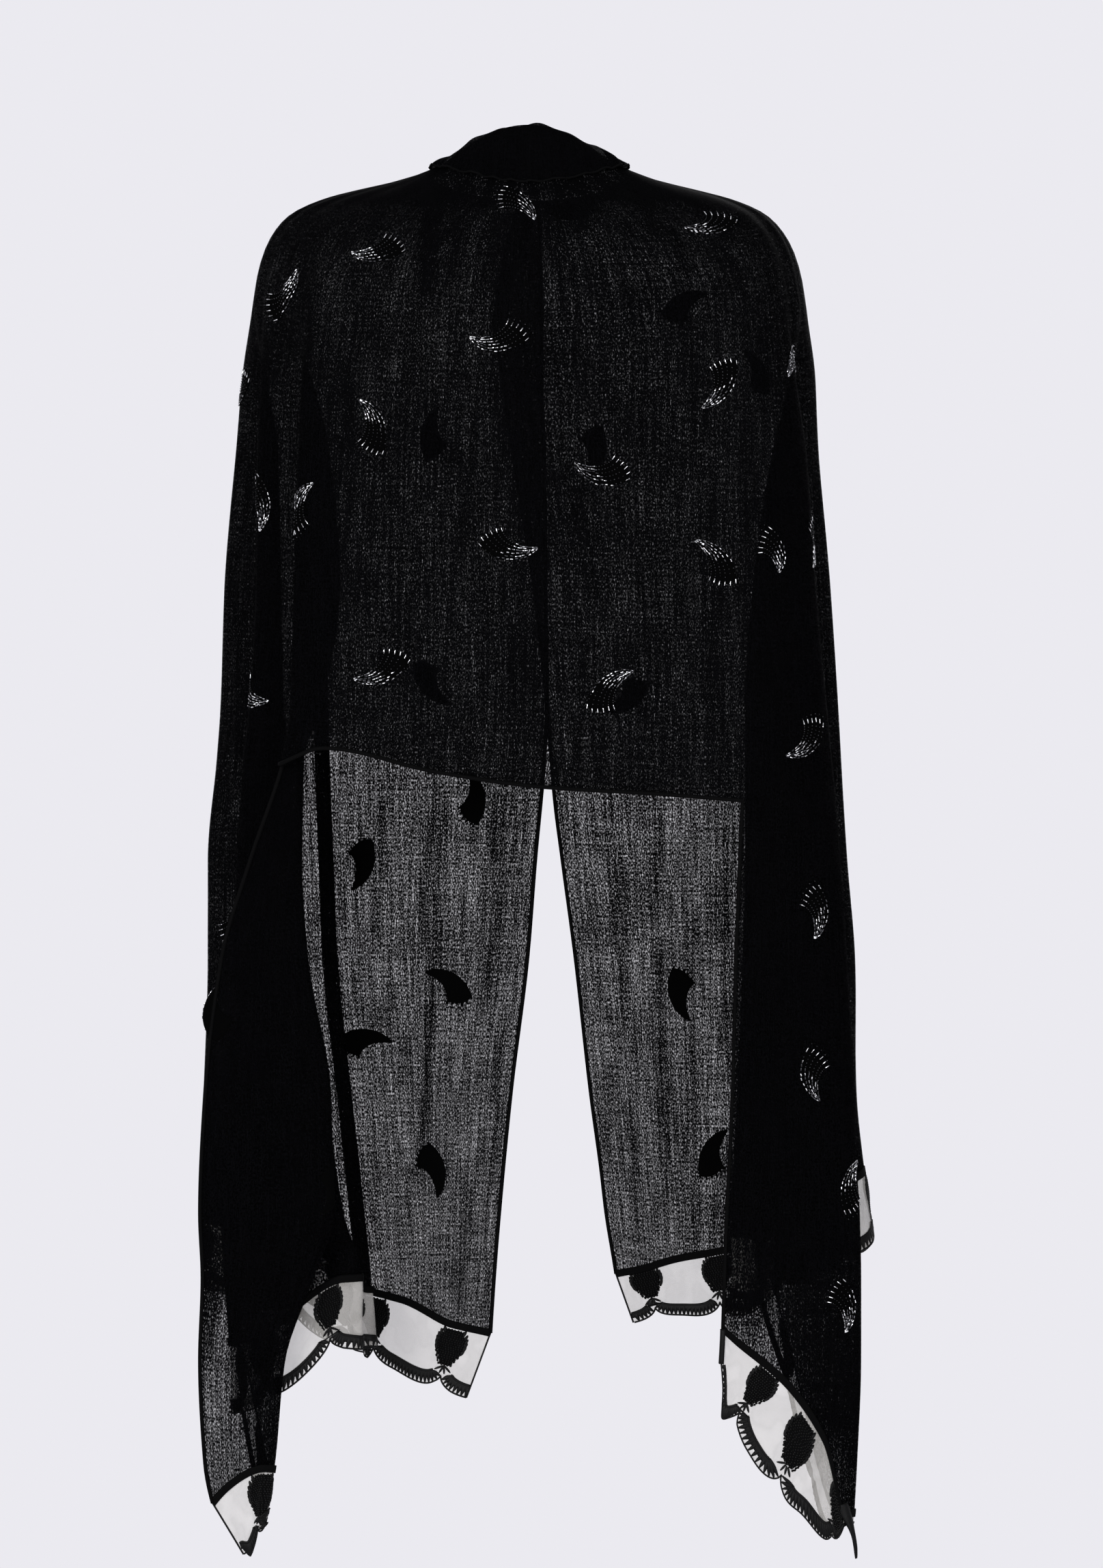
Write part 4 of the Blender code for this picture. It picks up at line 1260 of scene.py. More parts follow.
# %% Lengths of the edging
EDGE_STEP = 0.5 * MM
EDGE_RADIUS = 0.75 * MM
TURNED_SIDE = 2.6 * MM
INNER_LINE = 9.6 * MM
INNER_RADIUS = 1.3 * MM
TOOTH_PITCH = 4.0 * MM
TOOTH_SIZE = (9.6 * MM, 3.9 * MM, 1.7 * MM)
RIBBON = (9.9 * MM, 4.6 * MM)
RIBBON_WALL = 1.2 * MM
FAN_HEIGHT = 29 * MM
FAN_FOOT = 8 * MM
FAN_HALF_WIDTH = 13 * MM
FAN_BEAD = 2.2 * MM
FAN_SHARE = 0.62
END_MARGIN = 0.5 * MM
PETAL_HIGH = 1.9 * MM
BACKING_WALL = 1.3 * MM


def scallop_edge(one_end):
    """The organza's edge in its own flat lengths, in small even steps, with the direction inwards."""
    metres = np.linspace(0, one_end.width, 6000)
    flat = np.column_stack((metres, one_end.depth(metres)))
    travelled = lengths(flat)
    even = np.arange(0, travelled[-1], EDGE_STEP)
    flat = read_rows(even, travelled, flat)
    run = unit(np.gradient(flat, axis=0))
    inwards = np.column_stack((run[:, 1], -run[:, 0]))
    return flat, inwards


def tab_of(one_end, metres):
    return np.searchsorted(one_end.joints, metres)


def inner_line(one_end):
    """The edge, its direction inwards, the line inside it, where that is kept, and its share of the depth."""
    flat, inwards = scallop_edge(one_end)
    share = np.interp(flat[:, 0], one_end.fine_metres, one_end.share)[:, None]
    inner = flat + inwards * INNER_LINE * share
    keep = tab_of(one_end, inner[:, 0]) == tab_of(one_end, flat[:, 0])
    keep &= (inner[:, 0] > 0) & (inner[:, 1] > 0) & (inner[:, 0] < one_end.width)
    return flat, inwards, inner, keep, share[:, 0]


def runs_of(keep):
    """The stretches of a row of flags that are set."""
    edges = np.flatnonzero(np.diff(np.concatenate(([0], keep.astype(int), [0]))))
    return [(start, stop) for start, stop in zip(edges[::2], edges[1::2]) if stop - start > 8]


def build_edging(name, one_end, first_side):
    """The whipped edge, the inner line and the two short sides of one end, joined."""
    flat, _, inner, keep, _ = inner_line(one_end)
    edge = tube(name + "_edge", one_end.point(flat[::2, 0], flat[::2, 1]), EDGE_RADIUS, sides=4)
    pieces = [edge]
    for start, stop in runs_of(keep):
        row = inner[start:stop:3]
        pieces.append(tube(name + "_inner", one_end.point(row[:, 0], row[:, 1]), INNER_RADIUS, sides=4))
    for corner, thick in ((0.0, first_side), (one_end.width, EDGE_RADIUS)):
        drop = np.linspace(0, float(one_end.depth(np.array([corner]))[0]), 14)
        pieces.append(tube(name + "_side", one_end.point(np.full_like(drop, corner), drop), thick, sides=4))
    deselect()
    for piece in pieces:
        piece.select_set(True)
    bpy.context.view_layer.objects.active = edge
    bpy.ops.object.join()
    return edge


def build_ribbon(name, one_end):
    """The close satin along the inner line, from which the teeth start."""
    flat, inwards, _, keep, share = inner_line(one_end)
    vertices, faces, count = [], [], 0
    for start, stop in runs_of(keep):
        row = np.arange(start, stop, 2)
        grid = []
        for reach in np.linspace(*RIBBON, 4):
            spot = flat[row] + inwards[row] * reach * share[row, None]
            grid.append(one_end.point(spot[:, 0], spot[:, 1]))
        grid = np.stack(grid)
        faces += grid_faces(numbered(grid.shape, count))
        vertices.append(grid.reshape(-1, 3))
        count += len(vertices[-1])
    return walled_sheet(name, np.concatenate(vertices), faces, RIBBON_WALL)


def build_teeth(name, one_end, rng):
    """The tapered stitches between the inner line and the edge."""
    flat, inwards, _, keep, share = inner_line(one_end)
    picked = np.arange(3, len(flat) - 3, int(TOOTH_PITCH / EDGE_STEP + 0.5))
    picked = picked[keep[picked]]
    middle = flat[picked] + inwards[picked] * 0.5 * INNER_LINE * share[picked, None]
    ends = flat[picked]
    centres = one_end.point(middle[:, 0], middle[:, 1])
    along = one_end.point(ends[:, 0], ends[:, 1]) - centres
    sizes = np.tile(TOOTH_SIZE, (len(picked), 1))
    sizes[:, 0] = 2.1 * np.linalg.norm(along, axis=1)
    sizes[:, 1] *= rng.uniform(0.85, 1.1, len(picked))
    side = one_end.side(middle[:, 0])
    return scatter(name, TOOTH, centres, along, side, sizes)


def fan_half_width(height):
    """Half the fan's width at a share of its height: narrow at its foot and widest past the middle."""
    lower = 0.46 + 0.54 * np.sin(0.5 * np.pi * np.clip(height / 0.6, 0, 1)) ** 1.2
    upper = np.sqrt(np.clip(1 - (np.clip(height - 0.6, 0, 1) / 0.5) ** 2, 0, 1))
    return FAN_HALF_WIDTH * np.where(height < 0.6, lower, upper)


def fan_places(one_end):
    """The joints that carry a fan, with the share of the full depth that the organza has there."""
    share = np.interp(one_end.joints, one_end.fine_metres, one_end.share)
    return [(joint, part) for joint, part in zip(one_end.joints, share) if part > FAN_SHARE]


def build_fans(name, one_end, rng):
    """The backing of close stitches, the beads and the petals of every fan on one end."""
    backs, beads, petals = [], [], []
    for joint, share in fan_places(one_end):
        foot = float(one_end.depth(np.array([joint]))[0]) - FAN_FOOT
        tall = min(FAN_HEIGHT * share, foot - 0.8 * MM)
        rows = int(tall / (0.8 * FAN_BEAD))
        for row in range(rows + 1):
            height = (row + 0.3) / (rows + 0.6)
            half = fan_half_width(height) - 0.45 * FAN_BEAD
            count = max(2, int(round(2 * half / (0.9 * FAN_BEAD))))
            across = np.linspace(-half, half, count) + (row % 2) * 0.3 * FAN_BEAD
            for offset in across:
                lean = offset / FAN_HALF_WIDTH * 0.8
                metres = joint + offset + rng.normal(0, 0.15 * MM)
                beads.append((metres, foot - height * tall, lean, rng.uniform(0.85, 1.15)))
        for height in np.linspace(0.42, 0.96, 6):
            for sign in (-1, 1):
                half = fan_half_width(height) - 0.6 * MM
                lean = sign * (0.62 - 0.42 * height)
                petals.append((joint + sign * half, foot - height * tall, lean, 6.0 * MM, 2.6 * MM))
        for lean, reach in ((-0.95, 8.6), (-0.3, 7.6), (0.3, 7.6), (0.95, 8.6)):
            out = 0.5 * reach * MM
            drop = foot + out * math.cos(lean) + 0.3 * MM
            petals.append((joint + out * math.sin(lean), drop, -lean, reach * MM, 2.0 * MM))
        backs.append((joint, foot, tall))

    def sew(part, template, stitches, size_of):
        """Puts the stitches that lie on the silk where they belong, each leaning from straight up."""
        stitches = np.array(stitches)
        inside = (stitches[:, 0] > END_MARGIN) & (stitches[:, 0] < one_end.width - END_MARGIN)
        metres, drop, lean, *sizes = stitches[inside].T
        ahead = one_end.point(metres + 0.5 * MM, drop) - one_end.point(metres - 0.5 * MM, drop)
        up = one_end.point(metres, drop - 0.5 * MM) - one_end.point(metres, drop + 0.5 * MM)
        along = unit(ahead) * np.sin(lean)[:, None] + unit(up) * np.cos(lean)[:, None]
        size = np.column_stack(size_of(*sizes))
        return scatter(name + part, template, one_end.point(metres, drop), along, one_end.side(metres), size)

    def bead_size(size):
        return 1.1 * size * FAN_BEAD, 0.92 * size * FAN_BEAD, np.full(len(size), FAN_BEAD)

    def petal_size(length, width):
        return length, width, np.full(len(length), PETAL_HIGH)

    bead_piece = sew("_beads", ROUND, beads, bead_size)
    petal_piece = sew("_petals", STITCH, petals, petal_size)
    vertices, faces = [], []
    for joint, foot, tall in backs:
        height = np.linspace(0, 1, 12)[:, None]
        offset = np.linspace(-1, 1, 9)[None, :] * (fan_half_width(height) - 2.0 * MM)
        metres = np.clip(joint + offset, 0.3 * MM, one_end.width - 0.3 * MM)
        grid = one_end.point(metres, foot - height * tall)
        faces += grid_faces(numbered(grid.shape, metres.size * len(vertices)))
        vertices.append(grid.reshape(-1, 3))
    back_piece = walled_sheet(name + "_backing", np.concatenate(vertices), faces, BACKING_WALL)
    return bead_piece, petal_piece, back_piece


# %% Sew both ends
rng = np.random.default_rng(7)
for end_name, one_end, first_side in (("left", left_end, EDGE_RADIUS), ("right", right_end, TURNED_SIDE)):
    edging = finish_piece(build_edging("edging_" + end_name, one_end, first_side), SATIN_THREAD)
    edging.name = "edging_" + end_name
    teeth = finish_piece(build_teeth("satin_teeth_" + end_name, one_end, rng), SATIN_THREAD)
    ribbon = finish_piece(build_ribbon("satin_ribbon_" + end_name, one_end), SATIN_THREAD)
    fan_beads, petals, backing = build_fans("fan_" + end_name, one_end, rng)
    finish_piece(fan_beads, JET)
    finish_piece(petals, SATIN_THREAD)
    finish_piece(backing, HEM_THREAD)

# %% [markdown]
# ## The collar
# The stole's inner long edge is folded over at the nape and stands up in close gathers, like a turned-down
# collar. It is three or more layers there, so it looks solid black. The flap follows the yoke's own
# points, moved out, with its gathers as waves, and it ends in the same rolled hem.

# %% The collar flap
# Reach is a share of the ring to each side of the nape, and the start and the lengths are steps of the
# yoke.
COLLAR_REACH = 0.19
COLLAR_GATHERS = 34
COLLAR_START = 0.004
COLLAR_LENGTH = 0.28
COLLAR_SHORT = 0.02
COLLAR_LIFT = 2.0 * MM
COLLAR_ROLL = 3.2 * MM
GATHER_HEIGHT = 1.3 * MM
COLLAR_COVER = 0.93
COLLAR_GAUZE = make_gauze("gathered_gauze_finish", COLLAR_COVER, 0.35, 0.55)


def collar_points(shares, down):
    """The flap's points, by its share of the way round the ring and down from the fold."""
    stations = np.interp(shares, RING_SHARES, RING_STATIONS)
    from_middle = np.abs(shares - 0.5) / COLLAR_REACH
    length = COLLAR_SHORT + (COLLAR_LENGTH - COLLAR_SHORT) * (1 - from_middle**2)
    steps = COLLAR_START + (length - COLLAR_START) * down
    base = yoke(stations, steps)
    beside = yoke(stations + 0.05, steps) - yoke(stations - 0.05, steps)
    below = yoke(stations, steps + 0.01) - yoke(stations, np.maximum(steps - 0.01, 0))
    out = unit(np.cross(below, beside))
    waves = np.sin(shares * 2 * np.pi * COLLAR_GATHERS + 1.5 * np.sin(shares * 40))
    small = 0.35 * MM * np.sin(shares * 2 * np.pi * COLLAR_GATHERS * 2.7 + 3 * down)
    settled = np.clip((1 - from_middle) / 0.3, 0, 1)
    lift = COLLAR_LIFT * (0.15 + 0.85 * settled)
    lift += (COLLAR_ROLL * np.sin(0.75 * np.pi * down) + (GATHER_HEIGHT * waves + small) * down) * settled
    uneven = 1.1 * MM * np.sin(shares * 61 + 1) + 0.9 * MM * np.sin(shares * 113)
    points = base + out * lift[..., None]
    points[..., 2] += uneven * (1 - down) * settled
    return points


def build_collar(columns_across=300, rows_down=16):
    shares = np.linspace(0.5 - COLLAR_REACH, 0.5 + COLLAR_REACH, columns_across)
    down = np.linspace(0, 1, rows_down)
    shares, down = np.meshgrid(shares, down)
    points = collar_points(shares, down)
    collar = walled_sheet(
        "collar_fold", points, grid_faces(numbered(points.shape)), GAUZE_WALL,
        uv=((shares * RING_LENGTH).ravel(), (down * 0.03).ravel()), fullness=np.zeros(shares.size),
    )
    return collar, points[-1]


collar, collar_edge = build_collar()
finish_piece(collar, COLLAR_GAUZE, ("collar_flap",))
hem_collar = finish_piece(tube("hem_collar", collar_edge[::3], 0.9 * MM), HEM_THREAD)

# %% [markdown]
# ## The twisted corner
# At the lower right the last corner of the organza has twisted into a short point. It is the solid of that
# name, made finer: a flat strip wound round its own length.

# %% The twisted corner's mesh
# Its ends as they are seen, each with its own depth, its half widths at the top and at the point, and its
# twist.
TIP_START = (240 * MM, -60.5 * MM, -1012 * MM)
TIP_END = (252 * MM, -60 * MM, -1054 * MM)
TIP_WIDE = 5.0 * MM
TIP_DEEP = 3.0 * MM
TIP_THIN = 0.8 * MM
TIP_TWIST = 2.6


def build_tip():
    start, finish = (np.array((true_x(x, y), y, true_height(z, y))) for x, y, z in (TIP_START, TIP_END))
    sides, steps = 16, 30
    t = np.linspace(0, 1, steps)[:, None]
    angle = np.linspace(0, 2 * np.pi, sides, endpoint=False)[None, :]
    wide = TIP_THIN + (TIP_WIDE - TIP_THIN) * (1 - t) ** 0.8
    thin = TIP_THIN + (TIP_DEEP - TIP_THIN) * (1 - t)
    x, y = wide * np.cos(angle) * (1 + 0.12 * np.sin(5 * angle + 9 * t)), thin * np.sin(angle)
    turn = TIP_TWIST * t
    dx, dy = x * np.cos(turn) - y * np.sin(turn), x * np.sin(turn) + y * np.cos(turn)
    centre = start + (finish - start) * t[..., None]
    points = np.broadcast_to(centre, (steps, sides, 3)).copy()
    points[..., 0] += 3 * MM * np.sin(np.pi * t) + dx
    points[..., 1] += dy
    points[..., 2] += 0.3 * dx
    faces = [tuple(range(sides)), tuple(range((steps - 1) * sides, steps * sides))[::-1]]
    for i in range(steps - 1):
        for k in range(sides):
            n = (k + 1) % sides
            faces.append((i * sides + k, (i + 1) * sides + k, (i + 1) * sides + n, i * sides + n))
    tip = new_object("twisted_corner", points, faces)
    smooth_shaded(tip)
    return tip


tip = finish_piece(build_tip(), SATIN_THREAD, ("border_tip",))

# %% [markdown]
# ## The beaded leaves
# Curved leaves are scattered over the gauze, most of them 45 mm long. On the real stole rows of silver
# bugles follow the leaf's round side from its point, and past them small dark seeds open like a fan
# towards the broad end, where each row ends in one bright dash. Close black stitches underneath hold them,
# so from inside, or against the light, a leaf is a dark shape with a ragged end. The table below says
# where each leaf is seen from behind, in mm on the plane of the shoulders, which layer it is on, where its
# point looks (0 to the right, 90 up) and which side of that direction is the round one (1 left, -1 right).

# %% The leaves' table
LEAF_COLUMNS = "x z layer heading round length".split()
LEAVES = (
    (-11, -2, "near", -50, 1, 38),
    (-121, -41, "near", 195, 1, 40),
    (-193, -75, "near", 60, -1, 44),
    (-23, -111, "near", 180, 1, 45),
    (141, -21, "near", 180, 1, 40),
    (150, -143, "near", 235, 1, 45),
    (205, -123, "near", 215, -1, 45),
    (-120, -176, "near", 115, -1, 45),
    (56, -212, "near", 165, 1, 45),
    (-210, -232, "near", 275, 1, 44),
    (-182, -237, "near", 60, 1, 44),
    (-18, -272, "near", -5, -1, 45),
    (144, -280, "near", 135, -1, 45),
    (190, -270, "near", -75, 1, 32),
    (224, -265, "near", 250, 1, 42),
    (-112, -367, "near", 200, 1, 45),
    (56, -378, "near", 40, 1, 45),
    (-218, -384, "near", 200, 1, 42),
    (216, -421, "near", 215, 1, 44),
    (223, -553, "near", 265, 1, 40),
    (219, -678, "near", 280, -1, 40),
    (246, -855, "near", 275, 1, 40),
    (-246, -633, "near", 100, 1, 42),
    (-81, -181, "far", 80, 1, 45),
    (53, -194, "far", 250, 1, 45),
    (116, -81, "far", 20, 1, 42),
    (178, -134, "far", 120, -1, 42),
    (-82, -374, "far", 310, -1, 45),
    (74, -388, "far", 210, 1, 45),
    (26, -9, "far", 160, 1, 36),
    (-45, -464, "far", 100, -1, 45),
    (-129, -514, "far", 250, 1, 45),
    (-62, -608, "far", 150, -1, 45),
    (-131, -651, "far", 0, 1, 45),
    (-73, -751, "far", 280, 1, 45),
    (113, -616, "far", 285, -1, 45),
    (140, -739, "far", 60, 1, 45),
)
LEAVES_ON_THE_ARMS = (
    (10.7, -150, 200, 1, 44),
    (11.6, -560, 80, -1, 44),
    (17.5, -760, 250, 1, 42),
    (31.6, -330, 120, 1, 44),
    (32.6, -640, 300, -1, 44),
    (29.0, -760, 70, 1, 42),
)
ARM_COLUMNS = "station z heading round length".split()
LEAF_WIDTH = 24 * MM
LEAF_LINES = 6
BUGLE_LINES = 6
BUGLE_STARTS = (0.02, 0.22, 0.08, 0.04, 0.19, 0.03)
BUGLE_SIZE = (2.2 * MM, 1.0 * MM, 1.0 * MM)
SEED_SIZE = 0.8 * MM
SEED_PITCH = 2.6 * MM
DASH_SIZE = (3.5 * MM, 0.82 * MM, 0.82 * MM)
RAY_SIZE = (5.4 * MM, 2.0 * MM, 1.0 * MM)
RAY_BACK = 0.01
# The share of the silver bugles that get the dark finish, as painted shade.
SHADE_PAINTED_SHARE = 0.4
PATCH_GRID = (14, 9)
PATCH_WALL = 0.9 * MM
BEAD_LIFT = 0.85 * MM


# %% The cloth as one surface
SURFACE_STATIONS = np.arange(0, RING_END + 0.05, 0.1)
YOKE_DOWNS = np.linspace(-0.97, 0, 50)[:-1]
FALL_DOWNS = np.arange(0, 0.96, 0.004)
SURFACE_DOWNS = np.concatenate((YOKE_DOWNS, FALL_DOWNS))
OUT_OF_REACH = 9


def surface_table():
    """The creased cloth and its right side on a close grid. Down is metres below the yoke, or its steps."""
    upper = yoke(SURFACE_STATIONS, 1 + YOKE_DOWNS[:, None])
    lower = place(SURFACE_STATIONS, YOKE_Z - FALL_DOWNS[:, None])
    points = np.concatenate((upper, lower))
    beside = np.gradient(points, axis=1)
    below = np.gradient(points, axis=0)
    side = unit(np.cross(below, beside))
    stations = np.broadcast_to(SURFACE_STATIONS, lower.shape[:2])
    heights = np.broadcast_to((YOKE_Z - FALL_DOWNS)[:, None], lower.shape[:2])
    moved = crease_offset(stations, heights)
    points[len(YOKE_DOWNS):] += side[len(YOKE_DOWNS):] * moved[..., None]
    return points, side


SURFACE_POINTS, SURFACE_SIDES = surface_table()
print("surface table:", SURFACE_POINTS.shape)


def read_table(table, station, down):
    station, down = np.broadcast_arrays(np.asarray(station, float), np.asarray(down, float))
    column = np.clip(station / 0.1, 0, len(SURFACE_STATIONS) - 1.001)
    row = np.interp(down, SURFACE_DOWNS, np.arange(len(SURFACE_DOWNS))).clip(0, len(SURFACE_DOWNS) - 1.001)
    i, k = row.astype(int), column.astype(int)
    v, u = (row - i)[..., None], (column - k)[..., None]
    upper = table[i, k] * (1 - u) + table[i, k + 1] * u
    lower = table[i + 1, k] * (1 - u) + table[i + 1, k + 1] * u
    return upper * (1 - v) + lower * v


def surface(station, down):
    """The cloth at a ring station and a length below the top of the falls."""
    return read_table(SURFACE_POINTS, station, down)


def right_side_of(station, down):
    """The cloth's right side, the one that faces away from the body."""
    return unit(read_table(SURFACE_SIDES, station, down))


def local_cloth(station, down):
    """Two readers for one leaf: from lengths along the ring and down the cloth to stations and downs."""
    near_stations = np.linspace(station - 2.2, station + 2.2, 240).clip(0, RING_END)
    along = surface(near_stations, down)
    travelled = lengths(along)
    travelled -= np.interp(station, near_stations, travelled)
    downs = np.concatenate((np.linspace(-0.97, 0, 60)[:-1], np.linspace(0, 0.95, 200)))
    profile = surface(station, downs)
    fallen = lengths(profile)
    start = np.interp(down, downs, fallen)

    def read(aside, below):
        return np.interp(aside, travelled, near_stations), np.interp(start + below, fallen, downs)

    return read


def seen_from_behind(points):
    """Where points appear on the plane of the shoulders."""
    scale = 1 + points[..., 1] / EYE_DISTANCE
    return (points[..., 0] - EYE_X) / scale + EYE_X, (points[..., 2] - EYE_Z) / scale + EYE_Z


def find_on_cloth(x, z, layer, search):
    """The ring station and down of the layer that shows at one seen place."""
    stations, downs, seen_x, seen_z = search
    off = np.hypot(seen_x - x, seen_z - z)
    close = off < 6 * MM
    if not close.any():
        close = off < off.min() + 1 * MM
    y = SURFACE_POINTS[..., 1]
    edge = y[close].min() if layer == "near" else y[close].max()
    same = close & (np.abs(y - edge) < 14 * MM)
    best = np.where(same, off, OUT_OF_REACH).argmin()
    return stations.flat[best], downs.flat[best]


def search_grid():
    """Where every point of the surface table appears. The points below the hem or an end are out of reach."""
    stations, downs = np.meshgrid(SURFACE_STATIONS, SURFACE_DOWNS)
    level = YOKE_Z - np.maximum(downs, 0)
    on_back = (SURFACE_STATIONS > LEFT_END) & (SURFACE_STATIONS < RIGHT_END)
    lowest = np.where(on_back, hem_height(SURFACE_STATIONS), seam_height(SURFACE_STATIONS)) + 0.015
    seen_x, seen_z = seen_from_behind(SURFACE_POINTS)
    seen_x = np.where(level < lowest, OUT_OF_REACH, seen_x)
    return stations, downs, seen_x, seen_z


# %% One leaf's shape
LEAF_STEPS = np.linspace(-0.1, 1.12, 123)
LEAF_TURN = np.radians(-30 + 92 * np.clip(LEAF_STEPS, 0, 1) ** 1.15)


def leaf_line():
    """The leaf's middle line, which curls from its point: its places and directions, for a length of one."""
    step = LEAF_STEPS[1] - LEAF_STEPS[0]
    away = np.cumsum(np.cos(LEAF_TURN)) * step
    aside = np.cumsum(np.sin(LEAF_TURN)) * step
    centre = np.interp(0.55, LEAF_STEPS, away), np.interp(0.55, LEAF_STEPS, aside)
    return away - centre[0], aside - centre[1]


LEAF_AWAY, LEAF_ASIDE = leaf_line()


def leaf_shape(along, across, length, rounded):
    """Lengths beside and along the heading, for shares along the leaf from its point and across it."""
    along, across = np.broadcast_arrays(np.asarray(along, float), np.asarray(across, float))
    turn = np.interp(along, LEAF_STEPS, LEAF_TURN)
    half = 0.5 * LEAF_WIDTH * np.clip(along, 0, 1.2) ** 0.74
    shift = across * half
    away = length * np.interp(along, LEAF_STEPS, LEAF_AWAY) + np.sin(turn) * shift
    aside = length * np.interp(along, LEAF_STEPS, LEAF_ASIDE) - np.cos(turn) * shift
    return -aside * rounded, -away


def leaf_frames(along, across, leaf, reader, lift):
    """Places, long directions and right sides of stitches on one leaf."""
    turn = math.radians(leaf["heading"])
    heading = np.array((leaf["sign"] * math.cos(turn), -math.sin(turn)))
    left = np.array((leaf["sign"] * -math.sin(turn), -math.cos(turn)))

    def at(u):
        beside, reach = leaf_shape(u, across, leaf["length"] * MM, leaf["round"])
        aside = beside * left[0] + reach * heading[0]
        below = beside * left[1] + reach * heading[1]
        return reader(aside, below)

    stations, downs = at(along)
    side = right_side_of(stations, downs)
    centres = surface(stations, downs) + side * lift
    ahead = surface(*at(along - 0.02)) - surface(*at(along + 0.02))
    return centres, ahead, side


# %% Lay every leaf
def leaf_lines(leaf, rng):
    """Shares along and across for the bugles, the seeds and the dashes of one leaf."""
    bugles, seeds, dashes = [], [], []
    length = leaf["length"] * MM
    for across, along in zip(np.linspace(-0.94, 0.94, BUGLE_LINES), BUGLE_STARTS):
        turn_over = 0.36 + 0.34 * (across + 1) / 2 + rng.normal(0, 0.02)
        while along < turn_over:
            bugles.append((along, across + rng.normal(0, 0.04)))
            along += (BUGLE_SIZE[0] + 1.4 * MM * rng.random()) / length
    for across in np.linspace(-0.92, 0.92, LEAF_LINES):
        end = 0.95 - 0.08 * across**2 + 0.02 * rng.random()
        along = 0.40 + 0.34 * (across + 1) / 2
        while along < end - 0.09:
            seeds.append((along, across))
            along += SEED_PITCH * rng.uniform(0.9, 1.15) / length
        dashes.append((end - 0.01, across))
        seeds.append((end + 0.09, across))
    return np.array(bugles), np.array(seeds), np.array(dashes)


def whole_leaves():
    """Every leaf with its ring station, its down and which way the ring runs there, as it is seen."""
    search = search_grid()
    found = []
    for row in LEAVES:
        leaf = dict(zip(LEAF_COLUMNS, row))
        leaf["station"], leaf["down"] = find_on_cloth(leaf["x"] * MM, leaf["z"] * MM, leaf["layer"], search)
        found.append(leaf)
    for row in LEAVES_ON_THE_ARMS:
        leaf = dict(zip(ARM_COLUMNS, row))
        leaf["down"] = YOKE_Z - leaf["z"] * MM
        found.append(leaf)
    for leaf in found:
        ahead = surface(leaf["station"] + 0.1, leaf["down"]) - surface(leaf["station"] - 0.1, leaf["down"])
        leaf["sign"] = 1.0 if ahead[0] > 0 else -1.0
    return found


def build_leaves(leaves, rng):
    """The beads, the stitches and the dark patch under each leaf, all leaves together."""
    groups = {"bugles": [], "seeds": [], "dashes": [], "rays": []}
    patches, patch_faces = [], []
    for leaf in leaves:
        reader = local_cloth(leaf["station"], leaf["down"])
        bugles, seeds, dashes = leaf_lines(leaf, rng)
        for key, spots in zip(groups, (bugles, seeds, dashes, dashes - (RAY_BACK, 0))):
            lift = 0.0 if key == "rays" else BEAD_LIFT
            groups[key].append(leaf_frames(spots[:, 0], spots[:, 1], leaf, reader, lift))
        steps, shares = (np.linspace(low, 1, count) for low, count in zip((0.02, -1), PATCH_GRID))
        along, across = np.meshgrid(steps, shares, indexing="ij")
        along = along * (0.95 - 0.08 * across**2)
        grid = leaf_frames(along.ravel(), across.ravel(), leaf, reader, 0.0)[0]
        patch_faces += grid_faces(numbered(along.shape, along.size * len(patches)))
        patches.append(grid)
    joined = {key: [np.concatenate(part) for part in zip(*parts)] for key, parts in groups.items()}
    return joined, walled_sheet("leaf_patches", np.concatenate(patches), patch_faces, PATCH_WALL)


PATCH_THREAD = make_thread("patch_thread", (0.0003, 0.0003, 0.0003), (0.001, 0.001, 0.0011), 0.9, 0.02)
rng = np.random.default_rng(11)
leaves = whole_leaves()
joined, leaf_patches = build_leaves(leaves, rng)
finish_piece(leaf_patches, PATCH_THREAD)
# Four in ten silver bugles get the dark gunmetal finish instead: painted shade, for bugles that catch no
# highlight.
shade_painted = rng.random(len(joined["bugles"][0])) < SHADE_PAINTED_SHARE
joined["dark_bugles"] = [part[shade_painted] for part in joined["bugles"]]
joined["bugles"] = [part[~shade_painted] for part in joined["bugles"]]
for leaf_name, template, size, finish in (
    ("bugles", BUGLE, BUGLE_SIZE, SILVER),
    ("dark_bugles", BUGLE, BUGLE_SIZE, GUNMETAL),
    ("seeds", SEED, (SEED_SIZE,) * 3, GUNMETAL),
    ("dashes", BUGLE, DASH_SIZE, SILVER),
    ("rays", STITCH, RAY_SIZE, PATCH_THREAD),
):
    centres, ahead, side = joined[leaf_name]
    if "bugles" in leaf_name:
        ahead = unit(ahead) + side * rng.normal(0, 0.16, (len(side), 1)) + rng.normal(0, 0.07, side.shape)
    piece = scatter("leaf_" + leaf_name, template, centres, ahead, side, np.array(size))
    finish_piece(piece, finish)
print(len(leaves), "leaves with", {key: len(parts[0]) for key, parts in joined.items()})

# %% [markdown]
# ## Camera, light and floor
# The camera stands behind the wearer, level, far enough back that the cloth looks flat as in a studio
# picture. The room is one even pale tone. It is bright where it is looked at and dimmer as a light, so
# that the soft lamps can still model the folds and strike the beads.

# %% The room
ROOM_COLOUR = (0.831, 0.823, 0.871, 1)
ROOM_LIGHT = 0.62


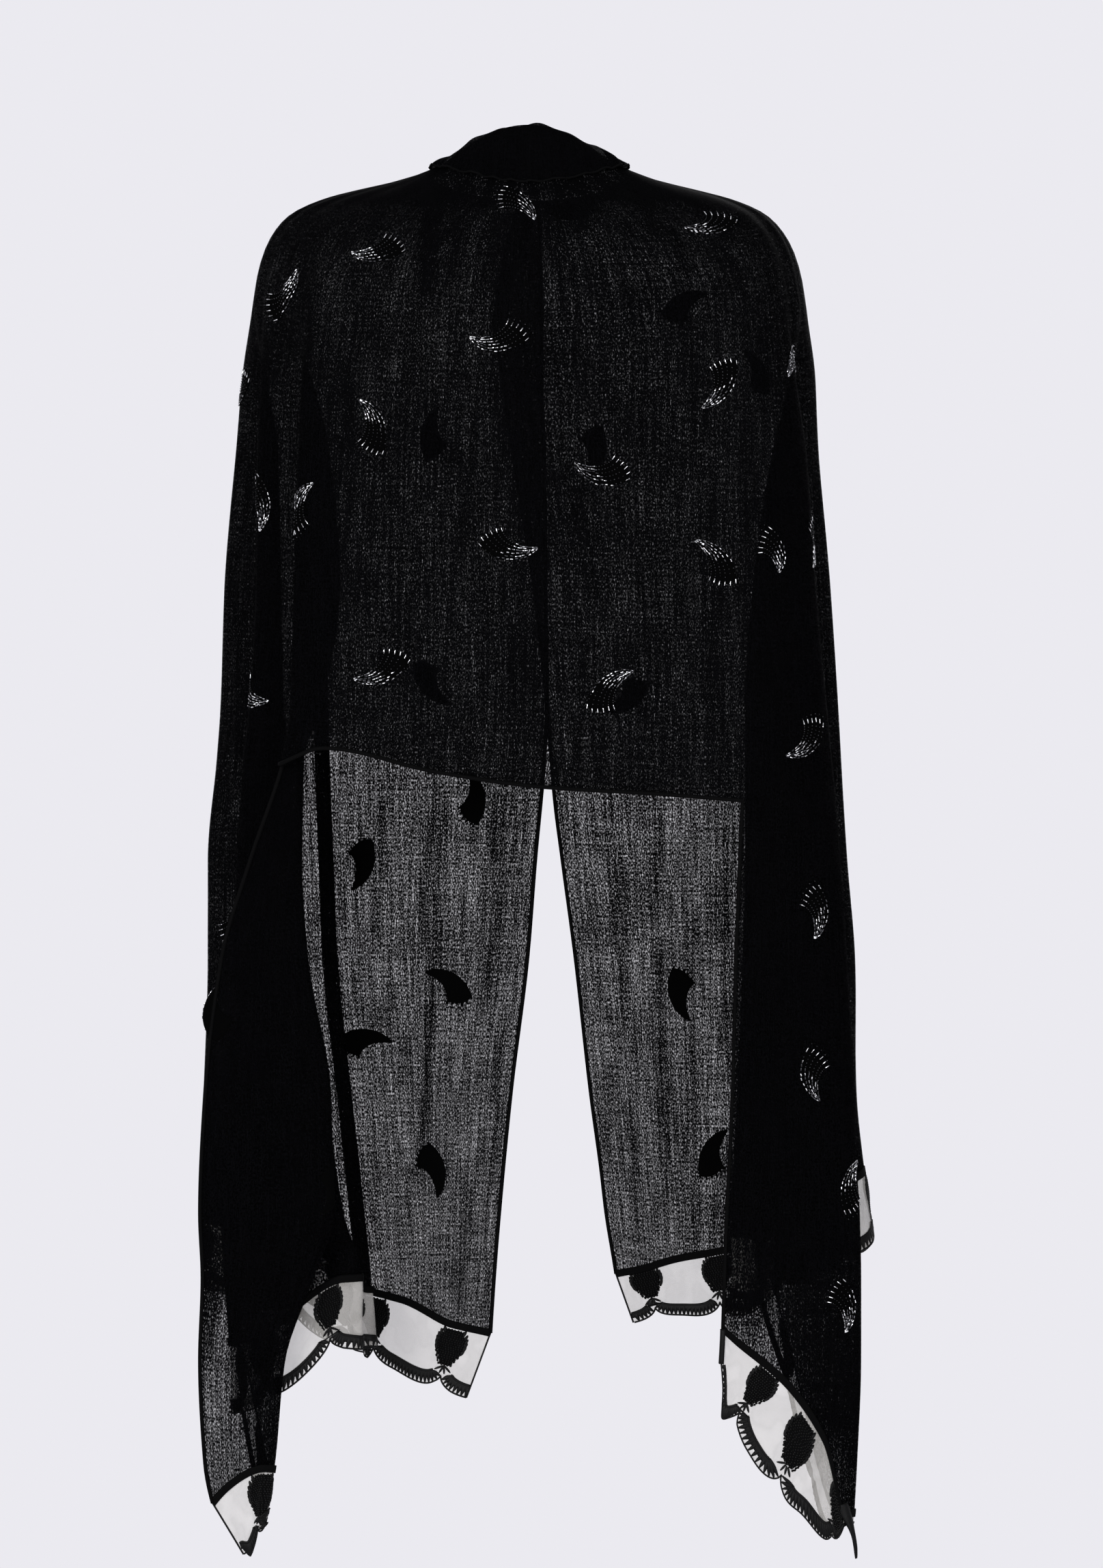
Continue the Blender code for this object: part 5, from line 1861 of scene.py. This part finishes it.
def make_room():
    world = bpy.data.worlds.new("studio")
    bpy.context.scene.world = world
    world.use_nodes = True
    tree = world.node_tree
    tree.nodes.clear()
    seen = add_node(tree, "ShaderNodeBackground")
    seen.inputs["Color"].default_value = ROOM_COLOUR
    lighting = add_node(tree, "ShaderNodeBackground")
    lighting.inputs["Color"].default_value = ROOM_COLOUR
    lighting.inputs["Strength"].default_value = ROOM_LIGHT
    path = add_node(tree, "ShaderNodeLightPath")
    mix = add_node(tree, "ShaderNodeMixShader")
    out = add_node(tree, "ShaderNodeOutputWorld")
    tree.links.new(path.outputs["Is Camera Ray"], mix.inputs["Fac"])
    tree.links.new(lighting.outputs["Background"], mix.inputs[1])
    tree.links.new(seen.outputs["Background"], mix.inputs[2])
    tree.links.new(mix.outputs["Shader"], out.inputs["Surface"])


make_room()
bpy.context.scene.view_settings.view_transform = "Standard"
bpy.context.scene.cycles.transparent_max_bounces = 24

# %% The floor
FLOOR_Z = -1.5
FLOOR_RADIUS = 1.9
deselect()
bpy.ops.mesh.primitive_circle_add(
    vertices=96, radius=FLOOR_RADIUS, fill_type="NGON", location=(0, 0, FLOOR_Z)
)
floor = bpy.context.view_layer.objects.active
floor.name = "floor"
floor_settings = {"Base Color": (0.72, 0.71, 0.74, 1), "Roughness": 1.0, "Specular IOR Level": 0.1}
floor.data.materials.append(principled("floor_finish", floor_settings)[0])


# %% The lamps
def soft_lamp(name, place_at, aim, size, watts):
    light = bpy.data.lights.new(name, "AREA")
    light.shape = "DISK"
    light.size = size
    light.energy = watts
    lamp = bpy.data.objects.new(name, light)
    bpy.context.scene.collection.objects.link(lamp)
    lamp.location = place_at
    towards = (np.array(aim) - np.array(place_at)).tolist()
    lamp.rotation_euler = Vector(towards).to_track_quat("-Z", "Y").to_euler()
    return lamp


soft_lamp("key", (-1.0, -2.9, 0.15), (0, 0, -0.5), 0.9, 60)
soft_lamp("fill", (1.3, -2.7, -0.7), (0, 0, -0.6), 1.2, 24)
soft_lamp("rim", (0.6, 2.2, 1.2), (0, 0, -0.4), 1.2, 16)

# %% The camera
camera_data = bpy.data.cameras.new("camera")
camera_data.lens = 100
camera_data.sensor_width = 36
camera = bpy.data.objects.new("camera", camera_data)
bpy.context.scene.collection.objects.link(camera)
camera.location = (EYE_X, -EYE_DISTANCE, EYE_Z)
camera.rotation_euler = (math.pi / 2, 0, 0)
bpy.context.scene.camera = camera
